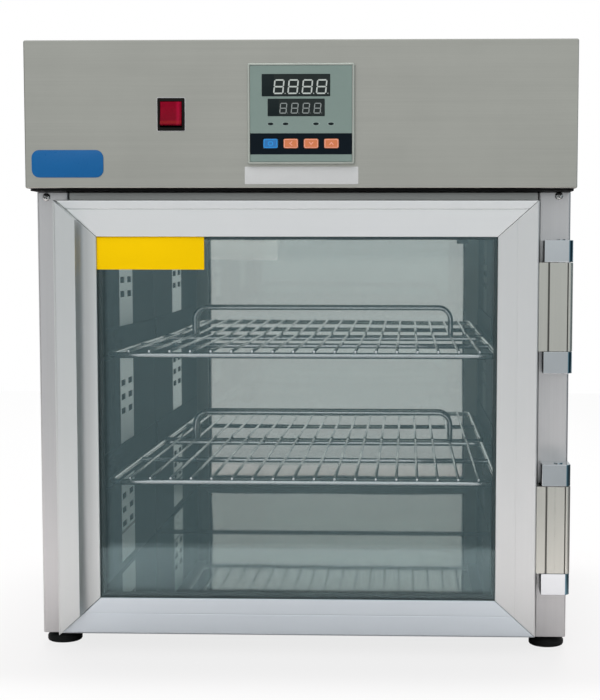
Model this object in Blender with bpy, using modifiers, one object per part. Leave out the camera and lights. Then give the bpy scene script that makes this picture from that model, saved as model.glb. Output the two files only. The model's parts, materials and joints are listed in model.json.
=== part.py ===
"""Bench-top fluid warming cabinet: a stainless body with a glass door, wire shelves and a control head.

Metres. X runs to the right, Y to the back and Z up. The origin is on the bench, at the middle of
the cabinet's box.
"""

import math

import bmesh
import bpy
from mathutils import Matrix, Vector

# Sheets, seats and folds
SHEET = 0.0012
LINER_SHEET = 0.0010
DECK_SHEET = 0.0015
SEAT = 0.0003
FOLD_RADIUS = 0.0025
FOLD_STEPS = 3

# Body
BODY_WIDTH = 0.500
BODY_DEPTH = 0.420
BODY_HEIGHT = 0.422
STILE_WIDTH = 0.030
REAR_RETURN = 0.015
TRAY_FLANGE = 0.018
FRONT_FRAME_RECESS = 0.002
FRONT_FRAME_SHEET = 0.006

# Walls between the body's outside and the cavity
LEFT_WALL = 0.0475
RIGHT_WALL = 0.0505
BASE_WALL = 0.031
TOP_WALL = 0.039
REAR_WALL = 0.047
SIDE_INSULATION = 0.028
TOP_INSULATION = 0.012

# Feet
FOOT_HEIGHT = 0.011
FOOT_RADIUS = 0.0166
FOOT_PAD = 0.0085
FOOT_CHAMFER = 0.0035
FOOT_NECK_RADIUS = 0.011
FOOT_SIDE_INSET = 0.0168
FOOT_END_INSET = 0.019

# Control head
HEAD_SIDE = 0.002
HEAD_HEIGHT = 0.134
HEAD_OVERHANG = 0.035
HEAD_RETURN = 0.020
HEAD_EDGE = 0.0015
DECK_SETBACK = 0.012
LOUVRE_COUNT = 9
LOUVRE_LENGTH = 0.150
LOUVRE_SLOT = 0.004
LOUVRE_PITCH = 0.010
LOUVRE_SIDE_GAP = 0.067
LOUVRE_RISE = 0.060

# Door
DOOR_MARGIN_LEFT = 0.0245
DOOR_MARGIN_RIGHT = 0.0315
DOOR_DROP = 0.010
DOOR_LIFT = 0.007
DOOR_GAP = 0.006
FRAME_SIDE = 0.0376
FRAME_TOP = 0.0336
FRAME_BOTTOM = 0.0344
FRAME_EDGE = 0.0012
GROOVE_INSET = 0.0086
GROOVE_WIDTH = 0.0012
GROOVE_DEPTH = 0.0015
SEAM_INSET = 0.0196
SEAM_WIDTH = 0.0014
SEAM_DEPTH = 0.0004
FRONT_LIP = 0.0025
BACK_LIP = 0.0030
CHANNEL_DEPTH = 0.012
GLASS_HOLD = 0.010
GLASS = 0.004
SPACER = 0.0113
SPACER_SHOW = 0.0022
MITRE_GAP = 0.0002
HANDLE_PROUD = 0.012
HANDLE_WIDTH = 0.0205
HANDLE_SLOPE = 0.0010
HANDLE_ROUND = 0.003
HANDLE_COVE = 0.007
GASKET_INSET = 0.0065
GASKET_WIDTH = 0.0115

# Hinges
HINGE_OFFSET = 0.021
HINGE_SETBACK = 0.002
HINGE_HEIGHT = 0.122
HINGE_BLOCK = 0.020
HINGE_FRONT = 0.0125
HINGE_BLOCK_LEFT = 0.0161
HINGE_PLATE = 0.0025
HINGE_ROUND = 0.005
BARREL_RADIUS = 0.0105
KNUCKLE_WEB = 0.006
KNUCKLE_LEAF = 0.0022
KNUCKLE_LEAF_BACK = 0.0105
KNUCKLE_GROOVE_X = 0.0118
KNUCKLE_GROOVE = 0.0016
KNUCKLE_GROOVE_DEPTH = 0.0030
KNUCKLE_EDGE = 0.0049
KNUCKLE_SLIT = 0.0010
KNUCKLE_ROUND = 0.0035
KNUCKLE_RUN = 0.0004
PIN_RADIUS = 0.004
PIN_STUB = 0.0008
UPPER_HINGE_DROP = 0.0365
LOWER_HINGE_RISE = 0.040

# Shelves and what carries them
SHELF_FRAME_RADIUS = 0.003
SHELF_WIRE_RADIUS = 0.0015
SHELF_WIRE_PITCH = 0.020
SHELF_WIRE_BITE = 0.0005
SHELF_SIDE_GAP = 0.009
SHELF_FRONT_GAP = 0.034
SHELF_REAR_GAP = 0.008
SHELF_CORNER = 0.012
SHELF_CROSS_BACK = 0.168
SHELF_LIP_INSET = 0.038
SHELF_LIP_HEIGHT = 0.036
SHELF_LIP_CORNER = 0.014
UPPER_SHELF_DROP = 0.118
LOWER_SHELF_RISE = 0.110
RUNNER_LEDGE = 0.0145
RUNNER_FLANGE = 0.026
RUNNER_FRONT_GAP = 0.022
RUNNER_REAR_GAP = 0.006

# Vent strips let into the side liners, with their air slots
VENT_WIDTH = 0.076
VENT_BACK = 0.194
VENT_END = 0.006
SLOT_LENGTH = 0.024
SLOT_HEIGHT = 0.0065
SLOT_COLUMN_PITCH = 0.040
SLOT_ROW_PITCH = 0.015
SLOT_ROWS = 3
SLOT_FLOOR_RISE = 0.060
SLOT_SHELF_RISE = 0.071

# Fan and heater
FAN_BACK = 0.200
FAN_RADIUS = 0.055
FAN_HEIGHT = 0.017
FAN_PLATE = 0.002
FAN_LIFT = 0.003
FAN_HUB_RADIUS = 0.012
FAN_BLADES = 9
FAN_BLADE = 0.0015
FAN_SWEEP_DEG = 34.0
SHAFT_RADIUS = 0.003
SHAFT_HOLE_RADIUS = 0.006
MOTOR_RADIUS = 0.036
MOTOR_HEIGHT = 0.050
MOTOR_FLANGE_RADIUS = 0.044
MOTOR_FLANGE = 0.003
MOTOR_CROWN = 0.006
HEATER_RING_RADIUS = 0.078
HEATER_TUBE_RADIUS = 0.004
HEATER_OPEN_DEG = 50.0
HEATER_BEND = 0.010
HEATER_STUB = 0.020
INTAKE_RADIUS = 0.045
INTAKE_SLOT = 0.006
INTAKE_PITCH = 0.012

# Electrical pieces on the deck and the rear
RELAY_SIZE = (0.058, 0.045, 0.028)
RELAY_SIDE_GAP = 0.073
RELAY_BACK = 0.290
TERMINAL_POLES = 6
TERMINAL_PITCH = 0.010
TERMINAL_WALL = 0.002
TERMINAL_DEPTH = 0.022
TERMINAL_HEIGHT = 0.018
TERMINAL_FLOOR = 0.010
TERMINAL_SIDE_GAP = 0.089
TERMINAL_BACK = 0.330
THERMOSTAT_RADIUS = 0.010
THERMOSTAT_HEIGHT = 0.009
THERMOSTAT_FAN_GAP = 0.0985
INLET_FLANGE = 0.002
INLET_WIDTH = 0.050
INLET_HEIGHT = 0.029
INLET_BODY_WIDTH = 0.028
INLET_BODY_HEIGHT = 0.021
INLET_BODY_DEPTH = 0.026
INLET_WALL = 0.002
INLET_RECESS = 0.018
INLET_SIDE_GAP = 0.057
INLET_RISE = 0.040
PROBE_RADIUS = 0.003
PROBE_LENGTH = 0.030
PROBE_CLIP = (0.012, 0.010, 0.0065)
PROBE_SIDE_GAP = 0.0365
PROBE_REAR_GAP = 0.018

# Rocker switch on the fascia
SWITCH_LEFT = 0.1187
SWITCH_RISE = 0.067
SWITCH_WIDTH = 0.0248
SWITCH_HEIGHT = 0.0293
SWITCH_PROUD = 0.002
SWITCH_BODY_WIDTH = 0.0226
SWITCH_BODY_HEIGHT = 0.0270
SWITCH_BODY_DEPTH = 0.022
SWITCH_RECESS_DEPTH = 0.013
ROCKER_WIDTH = 0.0196
ROCKER_HALF = 0.0106
ROCKER_END_GAP = 0.0011
ROCKER_PIVOT_BACK = 0.003
ROCKER_CROWN = 0.0065
ROCKER_DISH = 0.0050
ROCKER_SIDE = 0.0025
ROCKER_BACK = 0.006
ROCKER_TILT_DEG = 8.0

# Controller on the fascia
CONTROLLER_X = 0.0017
CONTROLLER_RISE = 0.067
CONTROLLER_WIDTH = 0.0972
CONTROLLER_HEIGHT = 0.0905
CONTROLLER_PROUD = 0.006
CONTROLLER_EDGE = 0.0015
CONTROLLER_BODY_WIDTH = 0.090
CONTROLLER_BODY_HEIGHT = 0.084
CONTROLLER_BODY_DEPTH = 0.080
PANEL_WIDTH = 0.0922
PANEL_HEIGHT = 0.0860
PANEL_SHEET = 0.0016
PANEL_RECESS = 0.0022
KEY_WIDTH = 0.0132
KEY_HEIGHT = 0.0086
KEY_PITCH = 0.0184
KEY_DROP = 0.0268
KEY_PROUD = 0.0008
KEY_LIFT = 0.0009
KEY_CORNER = 0.0015
KEY_COUNT = 4

# Places worked out from the sizes above
door_thickness = FRONT_LIP + BACK_LIP + 2 * GLASS + SPACER + 4 * SEAT
total_depth = HANDLE_PROUD + door_thickness + DOOR_GAP + BODY_DEPTH + INLET_FLANGE
y_door = HANDLE_PROUD - total_depth / 2
y_door_back = y_door + door_thickness
y_body = y_door_back + DOOR_GAP
y_rear = y_body + BODY_DEPTH
y_fascia = y_body - HEAD_OVERHANG
y_front_frame = y_body + FRONT_FRAME_RECESS
y_frame_back = y_front_frame + FRONT_FRAME_SHEET
y_liner = y_frame_back + SEAT
y_back = y_rear - REAR_WALL

half_body = BODY_WIDTH / 2
half_head = half_body + HEAD_SIDE
x_left_cavity = LEFT_WALL - half_body
x_right_cavity = half_body - RIGHT_WALL
x_cavity = (x_left_cavity + x_right_cavity) / 2
x_inner_wall = half_body - SHEET - 2 * SEAT - SIDE_INSULATION
x_door_left = DOOR_MARGIN_LEFT - half_body
x_door_right = half_body - DOOR_MARGIN_RIGHT

z_body = FOOT_HEIGHT
z_deck = z_body + BODY_HEIGHT
z_under_deck = z_deck - DECK_SHEET - SEAT
z_head = z_deck + SEAT
z_top = z_deck + HEAD_HEIGHT
z_floor = z_body + BASE_WALL
z_ceiling = z_deck - TOP_WALL
z_plenum_top = z_under_deck - TOP_INSULATION
z_door_top = z_deck - DOOR_DROP
z_door_bottom = z_body + DOOR_LIFT
z_upper_shelf = z_ceiling - UPPER_SHELF_DROP
z_lower_shelf = z_floor + LOWER_SHELF_RISE

hinge_axis = Vector((x_door_right + HINGE_OFFSET, y_door + HINGE_SETBACK + HINGE_FRONT, 0))
fan_centre = Vector((x_cavity, y_body + FAN_BACK, 0))
x_head_inside = half_head - SHEET - SEAT
x_inlet = x_head_inside - INLET_SIDE_GAP - INLET_WIDTH / 2
x_louvre = LOUVRE_SIDE_GAP + LOUVRE_LENGTH / 2 - x_head_inside
x_switch = CONTROLLER_X - SWITCH_LEFT
y_rocker = y_fascia + ROCKER_PIVOT_BACK
z_rocker = z_deck + SWITCH_RISE
z_controller = z_deck + CONTROLLER_RISE


def clear_scene():
    for obj in list(bpy.data.objects):
        bpy.data.objects.remove(obj, do_unlink=True)


clear_scene()
cabinet = bpy.data.collections.new("fluid_warming_cabinet")
cutters = bpy.data.collections.new("cutters")
cutters.hide_render = True
bpy.context.scene.collection.children.link(cabinet)
bpy.context.scene.collection.children.link(cutters)


# Materials

def finish(name, colour, roughness, metallic=0.0, alpha=1.0):
    material = bpy.data.materials.new(name)
    material.use_nodes = True
    shader = material.node_tree.nodes["Principled BSDF"]
    shader.inputs["Base Color"].default_value = (*colour, 1.0)
    shader.inputs["Roughness"].default_value = roughness
    shader.inputs["Metallic"].default_value = metallic
    shader.inputs["Alpha"].default_value = alpha
    return material


FINISHES = {
    "brushed_stainless": ((0.56, 0.56, 0.54), 0.38, 1.0),
    "bright_stainless": ((0.62, 0.64, 0.63), 0.18, 1.0),
    "chrome": ((0.78, 0.79, 0.80), 0.10, 1.0),
    "anodised_aluminium": ((0.74, 0.75, 0.76), 0.40, 1.0),
    "clear_glass": ((0.80, 0.88, 0.86), 0.03, 0.0, 0.25),
    "black_rubber": ((0.02, 0.02, 0.02), 0.70),
    "black_plastic": ((0.03, 0.03, 0.03), 0.45),
    "grey_plastic": ((0.33, 0.36, 0.34), 0.50),
    "red_plastic": ((0.60, 0.02, 0.02), 0.25),
    "blue_plastic": ((0.06, 0.20, 0.50), 0.40),
    "orange_plastic": ((0.80, 0.22, 0.08), 0.40),
    "insulation_board": ((0.80, 0.76, 0.60), 0.90),
    "galvanised_steel": ((0.50, 0.51, 0.52), 0.50, 1.0),
}


def add_node(name, data, finish_name, location=(0, 0, 0), parent=None, rotation=(0, 0, 0)):
    """A part's object, in the cabinet's collection and with a material of its own."""
    obj = bpy.data.objects.new(name, data)
    cabinet.objects.link(obj)
    data.materials.clear()
    data.materials.append(finish(name + "_finish", *FINISHES[finish_name]))
    obj.rotation_euler = rotation
    obj.location = Vector(location)
    if parent:
        obj.parent = parent
        obj.location = Vector(location) - parent.location
    return obj


def add_pivot(name, location):
    pivot = bpy.data.objects.new(name, None)
    pivot.empty_display_size = 0.03
    pivot.location = location
    cabinet.objects.link(pivot)
    return pivot


# Shapes

def mesh_of(bm, name, smooth=False):
    mesh = bpy.data.meshes.new(name)
    bm.to_mesh(mesh)
    bm.free()
    if smooth:
        mesh.shade_smooth()
        mesh.set_sharp_from_angle(angle=math.radians(35))
    return mesh


def box_bmesh(low, high):
    """A box about its own centre, and that centre."""
    low, high = Vector(low), Vector(high)
    bm = bmesh.new()
    bmesh.ops.create_cube(bm, size=1.0)
    bmesh.ops.scale(bm, vec=high - low, verts=bm.verts)
    return bm, (low + high) / 2


def box(name, low, high, finish_name, parent=None, edge=0.0):
    bm, centre = box_bmesh(low, high)
    if edge:
        bmesh.ops.bevel(bm, geom=bm.edges[:], offset=edge, segments=2, profile=0.5, affect="EDGES")
    return add_node(name, mesh_of(bm, name), finish_name, centre, parent)


def add_modifier_boolean(obj, other, operation):
    modifier = obj.modifiers.new(operation.lower() + "_" + other.name, "BOOLEAN")
    modifier.operation = operation
    modifier.solver = "EXACT"
    modifier.object = other


def add_helper(name, mesh, location=(0, 0, 0)):
    helper = bpy.data.objects.new(name, mesh)
    helper.location = location
    helper.hide_render = True
    helper.display_type = "WIRE"
    cutters.objects.link(helper)
    return helper


def box_helper(name, low, high):
    bm, centre = box_bmesh(low, high)
    return add_helper(name, mesh_of(bm, name), centre)


def round_helper(name, centre, radius, low_z, high_z, segments=20):
    bm = bmesh.new()
    bmesh.ops.create_cone(bm, cap_ends=True, segments=segments, radius1=radius, radius2=radius,
                          depth=high_z - low_z)
    return add_helper(name, mesh_of(bm, name), (centre[0], centre[1], (low_z + high_z) / 2))


def cut(obj, *helpers):
    for helper in helpers:
        add_modifier_boolean(obj, helper, "DIFFERENCE")


def join(obj, *helpers):
    for helper in helpers:
        add_modifier_boolean(obj, helper, "UNION")


def arc(centre, radius, start_deg, end_deg, steps):
    """Points on an arc, both ends included."""
    points = []
    for i in range(steps + 1):
        angle = math.radians(start_deg + (end_deg - start_deg) * i / steps)
        points.append((centre[0] + radius * math.cos(angle), centre[1] + radius * math.sin(angle)))
    return points


def circle(centre, radius, steps=24):
    return arc(centre, radius, 0, 360, steps)[:-1]


def rectangle(low, high):
    return [(low[0], low[1]), (high[0], low[1]), (high[0], high[1]), (low[0], high[1])]


def round_rectangle(low, high, radius, steps=3):
    corners = (((high[0] - radius, low[1] + radius), -90), ((high[0] - radius, high[1] - radius), 0),
               ((low[0] + radius, high[1] - radius), 90), ((low[0] + radius, low[1] + radius), 180))
    points = []
    for centre, start in corners:
        points += arc(centre, radius, start, start + 90, steps)
    return points


# How a flat outline is turned: across X and Z, across Y and Z, or across X and Y
FACINGS = {
    "XZ": (math.pi / 2, 0, 0),
    "YZ": (math.pi / 2, 0, math.pi / 2),
    "XY": (0, 0, 0),
}


def plate(name, outlines, low, high, facing, finish_name, parent=None):
    """A flat outline, with holes for the outlines inside it, from low to high across its faces."""
    centre_a = (min(p[0] for p in outlines[0]) + max(p[0] for p in outlines[0])) / 2
    centre_b = (min(p[1] for p in outlines[0]) + max(p[1] for p in outlines[0])) / 2
    curve = bpy.data.curves.new(name, "CURVE")
    curve.dimensions = "2D"
    curve.fill_mode = "BOTH"
    curve.extrude = (high - low) / 2
    for outline in outlines:
        spline = curve.splines.new("POLY")
        spline.points.add(len(outline) - 1)
        for point, (a, b) in zip(spline.points, outline):
            point.co = (a - centre_a, b - centre_b, 0, 1)
        spline.use_cyclic_u = True
    middle = (low + high) / 2
    location = {"XZ": (centre_a, middle, centre_b), "YZ": (middle, centre_a, centre_b),
                "XY": (centre_a, centre_b, middle)}[facing]
    return add_node(name, curve, finish_name, location, parent, FACINGS[facing])


def folded_sheet(name, path, low_z, high_z, finish_name):
    """A sheet folded along a path seen from above, thickened to the right of the path's direction."""
    bm = bmesh.new()
    lower = [bm.verts.new((x, y, low_z)) for x, y in path]
    upper = [bm.verts.new((x, y, high_z)) for x, y in path]
    for i in range(len(path) - 1):
        bm.faces.new((lower[i], lower[i + 1], upper[i + 1], upper[i]))
    folds = [edge for edge in bm.edges if len(edge.link_faces) == 2]
    bmesh.ops.bevel(bm, geom=folds, offset=FOLD_RADIUS, segments=FOLD_STEPS, profile=0.5, affect="EDGES")
    obj = add_node(name, mesh_of(bm, name, smooth=True), finish_name)
    wall = obj.modifiers.new("sheet", "SOLIDIFY")
    wall.thickness = SHEET
    wall.offset = 1.0
    wall.use_even_offset = True
    return obj


def turned(name, profile, location, finish_name, steps, parent=None):
    """A profile of radius and height, from the top down its outer side, turned about Z."""
    bm = bmesh.new()
    points = [bm.verts.new((radius, 0, height)) for radius, height in profile]
    for first, second in zip(points, points[1:]):
        bm.edges.new((first, second))
    obj = add_node(name, mesh_of(bm, name), finish_name, location, parent)
    screw = obj.modifiers.new("turn", "SCREW")
    screw.steps = steps
    screw.render_steps = steps
    screw.use_merge_vertices = True
    screw.merge_threshold = 0.00005
    screw.use_smooth_shade = True
    return obj


def tube_mesh(name, points, radius, resolution, cyclic=False):
    """A closed mesh of a round bar along the points."""
    curve = bpy.data.curves.new(name, "CURVE")
    curve.dimensions = "3D"
    curve.bevel_depth = radius
    curve.bevel_resolution = resolution
    curve.use_fill_caps = True
    spline = curve.splines.new("POLY")
    spline.points.add(len(points) - 1)
    for point, place in zip(spline.points, points):
        point.co = (*place, 1)
    spline.use_cyclic_u = cyclic
    guide = bpy.data.objects.new(name, curve)
    bpy.context.scene.collection.objects.link(guide)
    graph = bpy.context.evaluated_depsgraph_get()
    mesh = bpy.data.meshes.new_from_object(guide.evaluated_get(graph))
    bpy.data.objects.remove(guide, do_unlink=True)
    bm = bmesh.new()
    bm.from_mesh(mesh)
    bmesh.ops.remove_doubles(bm, verts=bm.verts, dist=0.00001)
    bmesh.ops.recalc_face_normals(bm, faces=bm.faces)
    bm.to_mesh(mesh)
    bm.free()
    return mesh


# Body

def build_body():
    z_side_top = z_under_deck
    for name, side in (("left_side_panel", -1), ("right_side_panel", 1)):
        path = [
            (side * (half_body - STILE_WIDTH), y_frame_back),
            (side * (half_body - STILE_WIDTH), y_body),
            (side * half_body, y_body),
            (side * half_body, y_rear),
            (side * (half_body - REAR_RETURN), y_rear),
        ]
        folded_sheet(name, path if side < 0 else path[::-1], z_body, z_side_top, "brushed_stainless")

    y_rear_panel = y_rear - SHEET - SEAT
    x_inside = half_body - SHEET - SEAT
    build_tray(x_inside, y_rear_panel - SHEET - SEAT)
    x_rear_panel = half_body - SHEET - FOLD_RADIUS
    plate("rear_panel", [rectangle((-x_rear_panel, z_body + SHEET + SEAT), (x_rear_panel, z_side_top))],
          y_rear_panel - SHEET, y_rear_panel, "XZ", "galvanised_steel")

    x_frame = half_body - STILE_WIDTH - SEAT
    plate("front_frame",
          [rectangle((-x_frame, z_body), (x_frame, z_side_top)),
           rectangle((x_left_cavity, z_floor), (x_right_cavity, z_ceiling))],
          y_front_frame, y_frame_back, "XZ", "brushed_stainless")

    shaft_hole = circle(fan_centre, SHAFT_HOLE_RADIUS, 16)
    leg_holes = [circle(leg, HEATER_TUBE_RADIUS + SEAT, 12) for leg in heater_legs()]
    plate("deck_plate",
          [rectangle((-half_body, y_fascia + DECK_SETBACK), (half_body, y_rear)), shaft_hole, *leg_holes],
          z_deck - DECK_SHEET, z_deck, "XY", "galvanised_steel")
    build_insulation(y_rear_panel - SHEET - SEAT, shaft_hole, leg_holes)


def build_tray(x_inside, y_tray_rear):
    bm, centre = box_bmesh((-x_inside, y_liner, z_body), (x_inside, y_tray_rear, z_body + TRAY_FLANGE))
    lid = [face for face in bm.faces if face.normal.z > 0.5]
    bmesh.ops.delete(bm, geom=lid, context="FACES")
    tray = add_node("base_tray", mesh_of(bm, "base_tray"), "galvanised_steel", centre)
    wall = tray.modifiers.new("sheet", "SOLIDIFY")
    wall.thickness = SHEET
    wall.offset = -1.0
    wall.use_even_offset = True


def build_insulation(y_end, shaft_hole, leg_holes):
    z_low = z_body + TRAY_FLANGE + SEAT
    x_outer = half_body - SHEET - SEAT
    for name, side in (("left_insulation", -1), ("right_insulation", 1)):
        near, far = side * x_outer, side * (x_outer - SIDE_INSULATION)
        box(name, (min(near, far), y_liner, z_low),
            (max(near, far), y_end, z_under_deck), "insulation_board")
    y_back_board = y_back + LINER_SHEET + SEAT
    box("back_insulation", (-x_inner_wall, y_back_board, z_low), (x_inner_wall, y_end, z_under_deck),
        "insulation_board")
    y_front_board = y_liner + SHEET + SEAT
    box("base_insulation", (-x_inner_wall, y_front_board, z_body + SHEET + SEAT),
        (x_inner_wall, y_back_board - SEAT, z_floor - LINER_SHEET - SEAT), "insulation_board")
    plate("top_insulation",
          [rectangle((-x_inner_wall, y_liner), (x_inner_wall, y_back_board - SEAT)), shaft_hole, *leg_holes],
          z_plenum_top, z_under_deck - SEAT, "XY", "insulation_board")


def build_feet():
    profile = [
        (0, FOOT_HEIGHT - SEAT),
        (FOOT_NECK_RADIUS, FOOT_HEIGHT - SEAT),
        (FOOT_NECK_RADIUS, FOOT_PAD),
        (FOOT_RADIUS - FOOT_CHAMFER / 4, FOOT_PAD),
        (FOOT_RADIUS, FOOT_PAD - FOOT_CHAMFER / 4),
        (FOOT_RADIUS, FOOT_CHAMFER),
        (FOOT_RADIUS - FOOT_CHAMFER / 3, FOOT_CHAMFER / 3),
        (FOOT_RADIUS - FOOT_CHAMFER, 0),
        (0, 0),
    ]
    for end, y in (("front", y_body + FOOT_END_INSET), ("rear", y_rear - FOOT_END_INSET)):
        for hand, side in (("left", -1), ("right", 1)):
            x = side * (half_body - FOOT_SIDE_INSET)
            turned(f"{end}_{hand}_foot", profile, (x, y, 0), "black_rubber", 18)


# Cavity

def slot_outlines(y_vent):
    """The air slots of a vent strip, as outlines in Y and Z."""
    slots = []
    groups = (z_floor + SLOT_FLOOR_RISE, z_lower_shelf + SLOT_SHELF_RISE, z_upper_shelf + SLOT_SHELF_RISE)
    for z_group in groups:
        for row in range(SLOT_ROWS):
            z = z_group + (row - (SLOT_ROWS - 1) / 2) * SLOT_ROW_PITCH
            for column in (-0.5, 0.5):
                y = y_vent + column * SLOT_COLUMN_PITCH
                slots.append(rectangle((y - SLOT_LENGTH / 2, z - SLOT_HEIGHT / 2),
                                       (y + SLOT_LENGTH / 2, z + SLOT_HEIGHT / 2)))
    return slots


def intake_outlines():
    """Slots across a round intake below the fan, as outlines in X and Y."""
    slots = []
    count = int(INTAKE_RADIUS / INTAKE_PITCH)
    for i in range(-count, count + 1):
        y = fan_centre.y + i * INTAKE_PITCH
        reach = math.sqrt(INTAKE_RADIUS ** 2 - (i * INTAKE_PITCH) ** 2)
        slots.append(rectangle((fan_centre.x - reach, y - INTAKE_SLOT / 2),
                               (fan_centre.x + reach, y + INTAKE_SLOT / 2)))
    return slots


def build_cavity():
    z_low, z_high = z_floor - LINER_SHEET, z_ceiling + LINER_SHEET
    side = rectangle((y_liner, z_low), (y_back - SEAT, z_high))
    y_vent = y_body + VENT_BACK
    half_vent = VENT_WIDTH / 2
    strip = rectangle((y_vent - half_vent, z_floor + VENT_END), (y_vent + half_vent, z_ceiling - VENT_END))
    window = rectangle((y_vent - half_vent - SEAT, z_floor + VENT_END - SEAT),
                       (y_vent + half_vent + SEAT, z_ceiling - VENT_END + SEAT))
    for hand, low in (("left", x_left_cavity - LINER_SHEET), ("right", x_right_cavity)):
        high = low + LINER_SHEET
        plate(f"{hand}_liner", [side, window], low, high, "YZ", "bright_stainless")
        plate(f"{hand}_vent_strip", [strip, *slot_outlines(y_vent)], low, high, "YZ", "anodised_aluminium")
    plate("back_liner",
          [rectangle((x_left_cavity - LINER_SHEET, z_low), (x_right_cavity + LINER_SHEET, z_high))],
          y_back, y_back + LINER_SHEET, "XZ", "bright_stainless")
    across = rectangle((x_left_cavity + SEAT, y_liner), (x_right_cavity - SEAT, y_back - SEAT))
    plate("floor_pan", [across], z_low, z_floor, "XY", "bright_stainless")
    plate("ceiling_panel", [across, *intake_outlines()], z_ceiling, z_high, "XY", "bright_stainless")

    clip_top = z_ceiling - SEAT
    x_probe = x_right_cavity - PROBE_SIDE_GAP
    y_probe = y_back - PROBE_REAR_GAP
    clip_low = Vector((x_probe, y_probe, clip_top)) - Vector(PROBE_CLIP) / 2
    clip_low.z = clip_top - PROBE_CLIP[2]
    probe = box("temperature_probe", clip_low, clip_low + Vector(PROBE_CLIP), "black_plastic")
    bulb = tube_mesh("probe_bulb", [(0, -PROBE_LENGTH / 2, 0), (0, PROBE_LENGTH / 2, 0)], PROBE_RADIUS, 3)
    join(probe, add_helper("probe_bulb", bulb, (x_probe, y_probe, clip_top - PROBE_CLIP[2] / 2)))


# Shelves

def shelf_mesh(half_width, length):
    """A welded wire shelf about the middle of its front bar: frame, wires on top, cross bar and rear lip."""
    frame_points = round_rectangle((-half_width, 0), (half_width, length), SHELF_CORNER, 4)
    frame = bpy.data.objects.new(
        "shelf_frame", tube_mesh("shelf_frame", [(x, y, 0) for x, y in frame_points],
                                 SHELF_FRAME_RADIUS, 2, cyclic=True))
    cutters.objects.link(frame)

    lip_x = half_width - SHELF_LIP_INSET
    lip_arc = arc((lip_x - SHELF_LIP_CORNER, SHELF_LIP_HEIGHT - SHELF_LIP_CORNER),
                  SHELF_LIP_CORNER, 0, 90, 4)
    right_half = [(lip_x, 0), *lip_arc]
    lip_path = [(-x, length, z) for x, z in right_half] + [(x, length, z) for x, z in right_half[::-1]]
    lip = add_helper("shelf_lip", tube_mesh("shelf_lip", lip_path, SHELF_FRAME_RADIUS * 0.95, 2))
    cross_path = [(-half_width, SHELF_CROSS_BACK, 0), (half_width, SHELF_CROSS_BACK, 0)]
    cross = add_helper("shelf_cross", tube_mesh("shelf_cross", cross_path, SHELF_FRAME_RADIUS * 0.9, 2))

    wire_z = SHELF_FRAME_RADIUS + SHELF_WIRE_RADIUS - SHELF_WIRE_BITE
    wire_count = int(2 * half_width / SHELF_WIRE_PITCH)
    bm = bmesh.new()
    for i in range(wire_count):
        x = (i - (wire_count - 1) / 2) * SHELF_WIRE_PITCH
        place = Matrix.Translation((x, length / 2, wire_z)) @ Matrix.Rotation(math.pi / 2, 4, "X")
        bmesh.ops.create_cone(bm, cap_ends=True, segments=6, radius1=SHELF_WIRE_RADIUS,
                              radius2=SHELF_WIRE_RADIUS, depth=length + SHELF_FRAME_RADIUS, matrix=place)
    wires = add_helper("shelf_wires", mesh_of(bm, "shelf_wires"))
    join(frame, lip, cross, wires)

    graph = bpy.context.evaluated_depsgraph_get()
    welded = bpy.data.meshes.new_from_object(frame.evaluated_get(graph))
    for helper in (frame, lip, cross, wires):
        bpy.data.objects.remove(helper, do_unlink=True)
    return welded


def build_shelves():
    half_width = (x_right_cavity - x_left_cavity) / 2 - SHELF_SIDE_GAP - SHELF_FRAME_RADIUS
    y_front = y_body + SHELF_FRONT_GAP + SHELF_FRAME_RADIUS
    y_end = y_back - SHELF_REAR_GAP - SHELF_FRAME_RADIUS
    welded = shelf_mesh(half_width, y_end - y_front)
    welded.shade_smooth()
    welded.set_sharp_from_angle(angle=math.radians(40))
    for name, z_bar in (("upper", z_upper_shelf), ("lower", z_lower_shelf)):
        add_node(f"{name}_shelf", welded.copy(), "chrome", (x_cavity, y_front, z_bar))
        build_runners(name, z_bar - SHELF_FRAME_RADIUS - SEAT)
    bpy.data.meshes.remove(welded)


def build_runners(name, z_ledge):
    """Angle runners on both side walls: a ledge below the shelf and a flange up the wall."""
    low, high = y_body + RUNNER_FRONT_GAP, y_back - RUNNER_REAR_GAP
    for hand, wall, inward in (("left", x_left_cavity + SEAT, 1), ("right", x_right_cavity - SEAT, -1)):
        angle = [(0, -SHEET), (RUNNER_LEDGE, -SHEET), (RUNNER_LEDGE, 0), (SHEET, 0),
                 (SHEET, RUNNER_FLANGE), (0, RUNNER_FLANGE)]
        outline = [(wall + inward * a, z_ledge + b) for a, b in angle]
        plate(f"{name}_{hand}_runner", [outline], low, high, "XZ", "bright_stainless")


# Fan and heater

def heater_legs():
    """Where the heater's two ends rise through the deck, in X and Y."""
    legs = []
    for hand in (-1, 1):
        angle = math.radians(90 + hand * HEATER_OPEN_DEG / 2)
        legs.append((fan_centre.x + HEATER_RING_RADIUS * math.cos(angle),
                     fan_centre.y + HEATER_RING_RADIUS * math.sin(angle)))
    return legs


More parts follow.
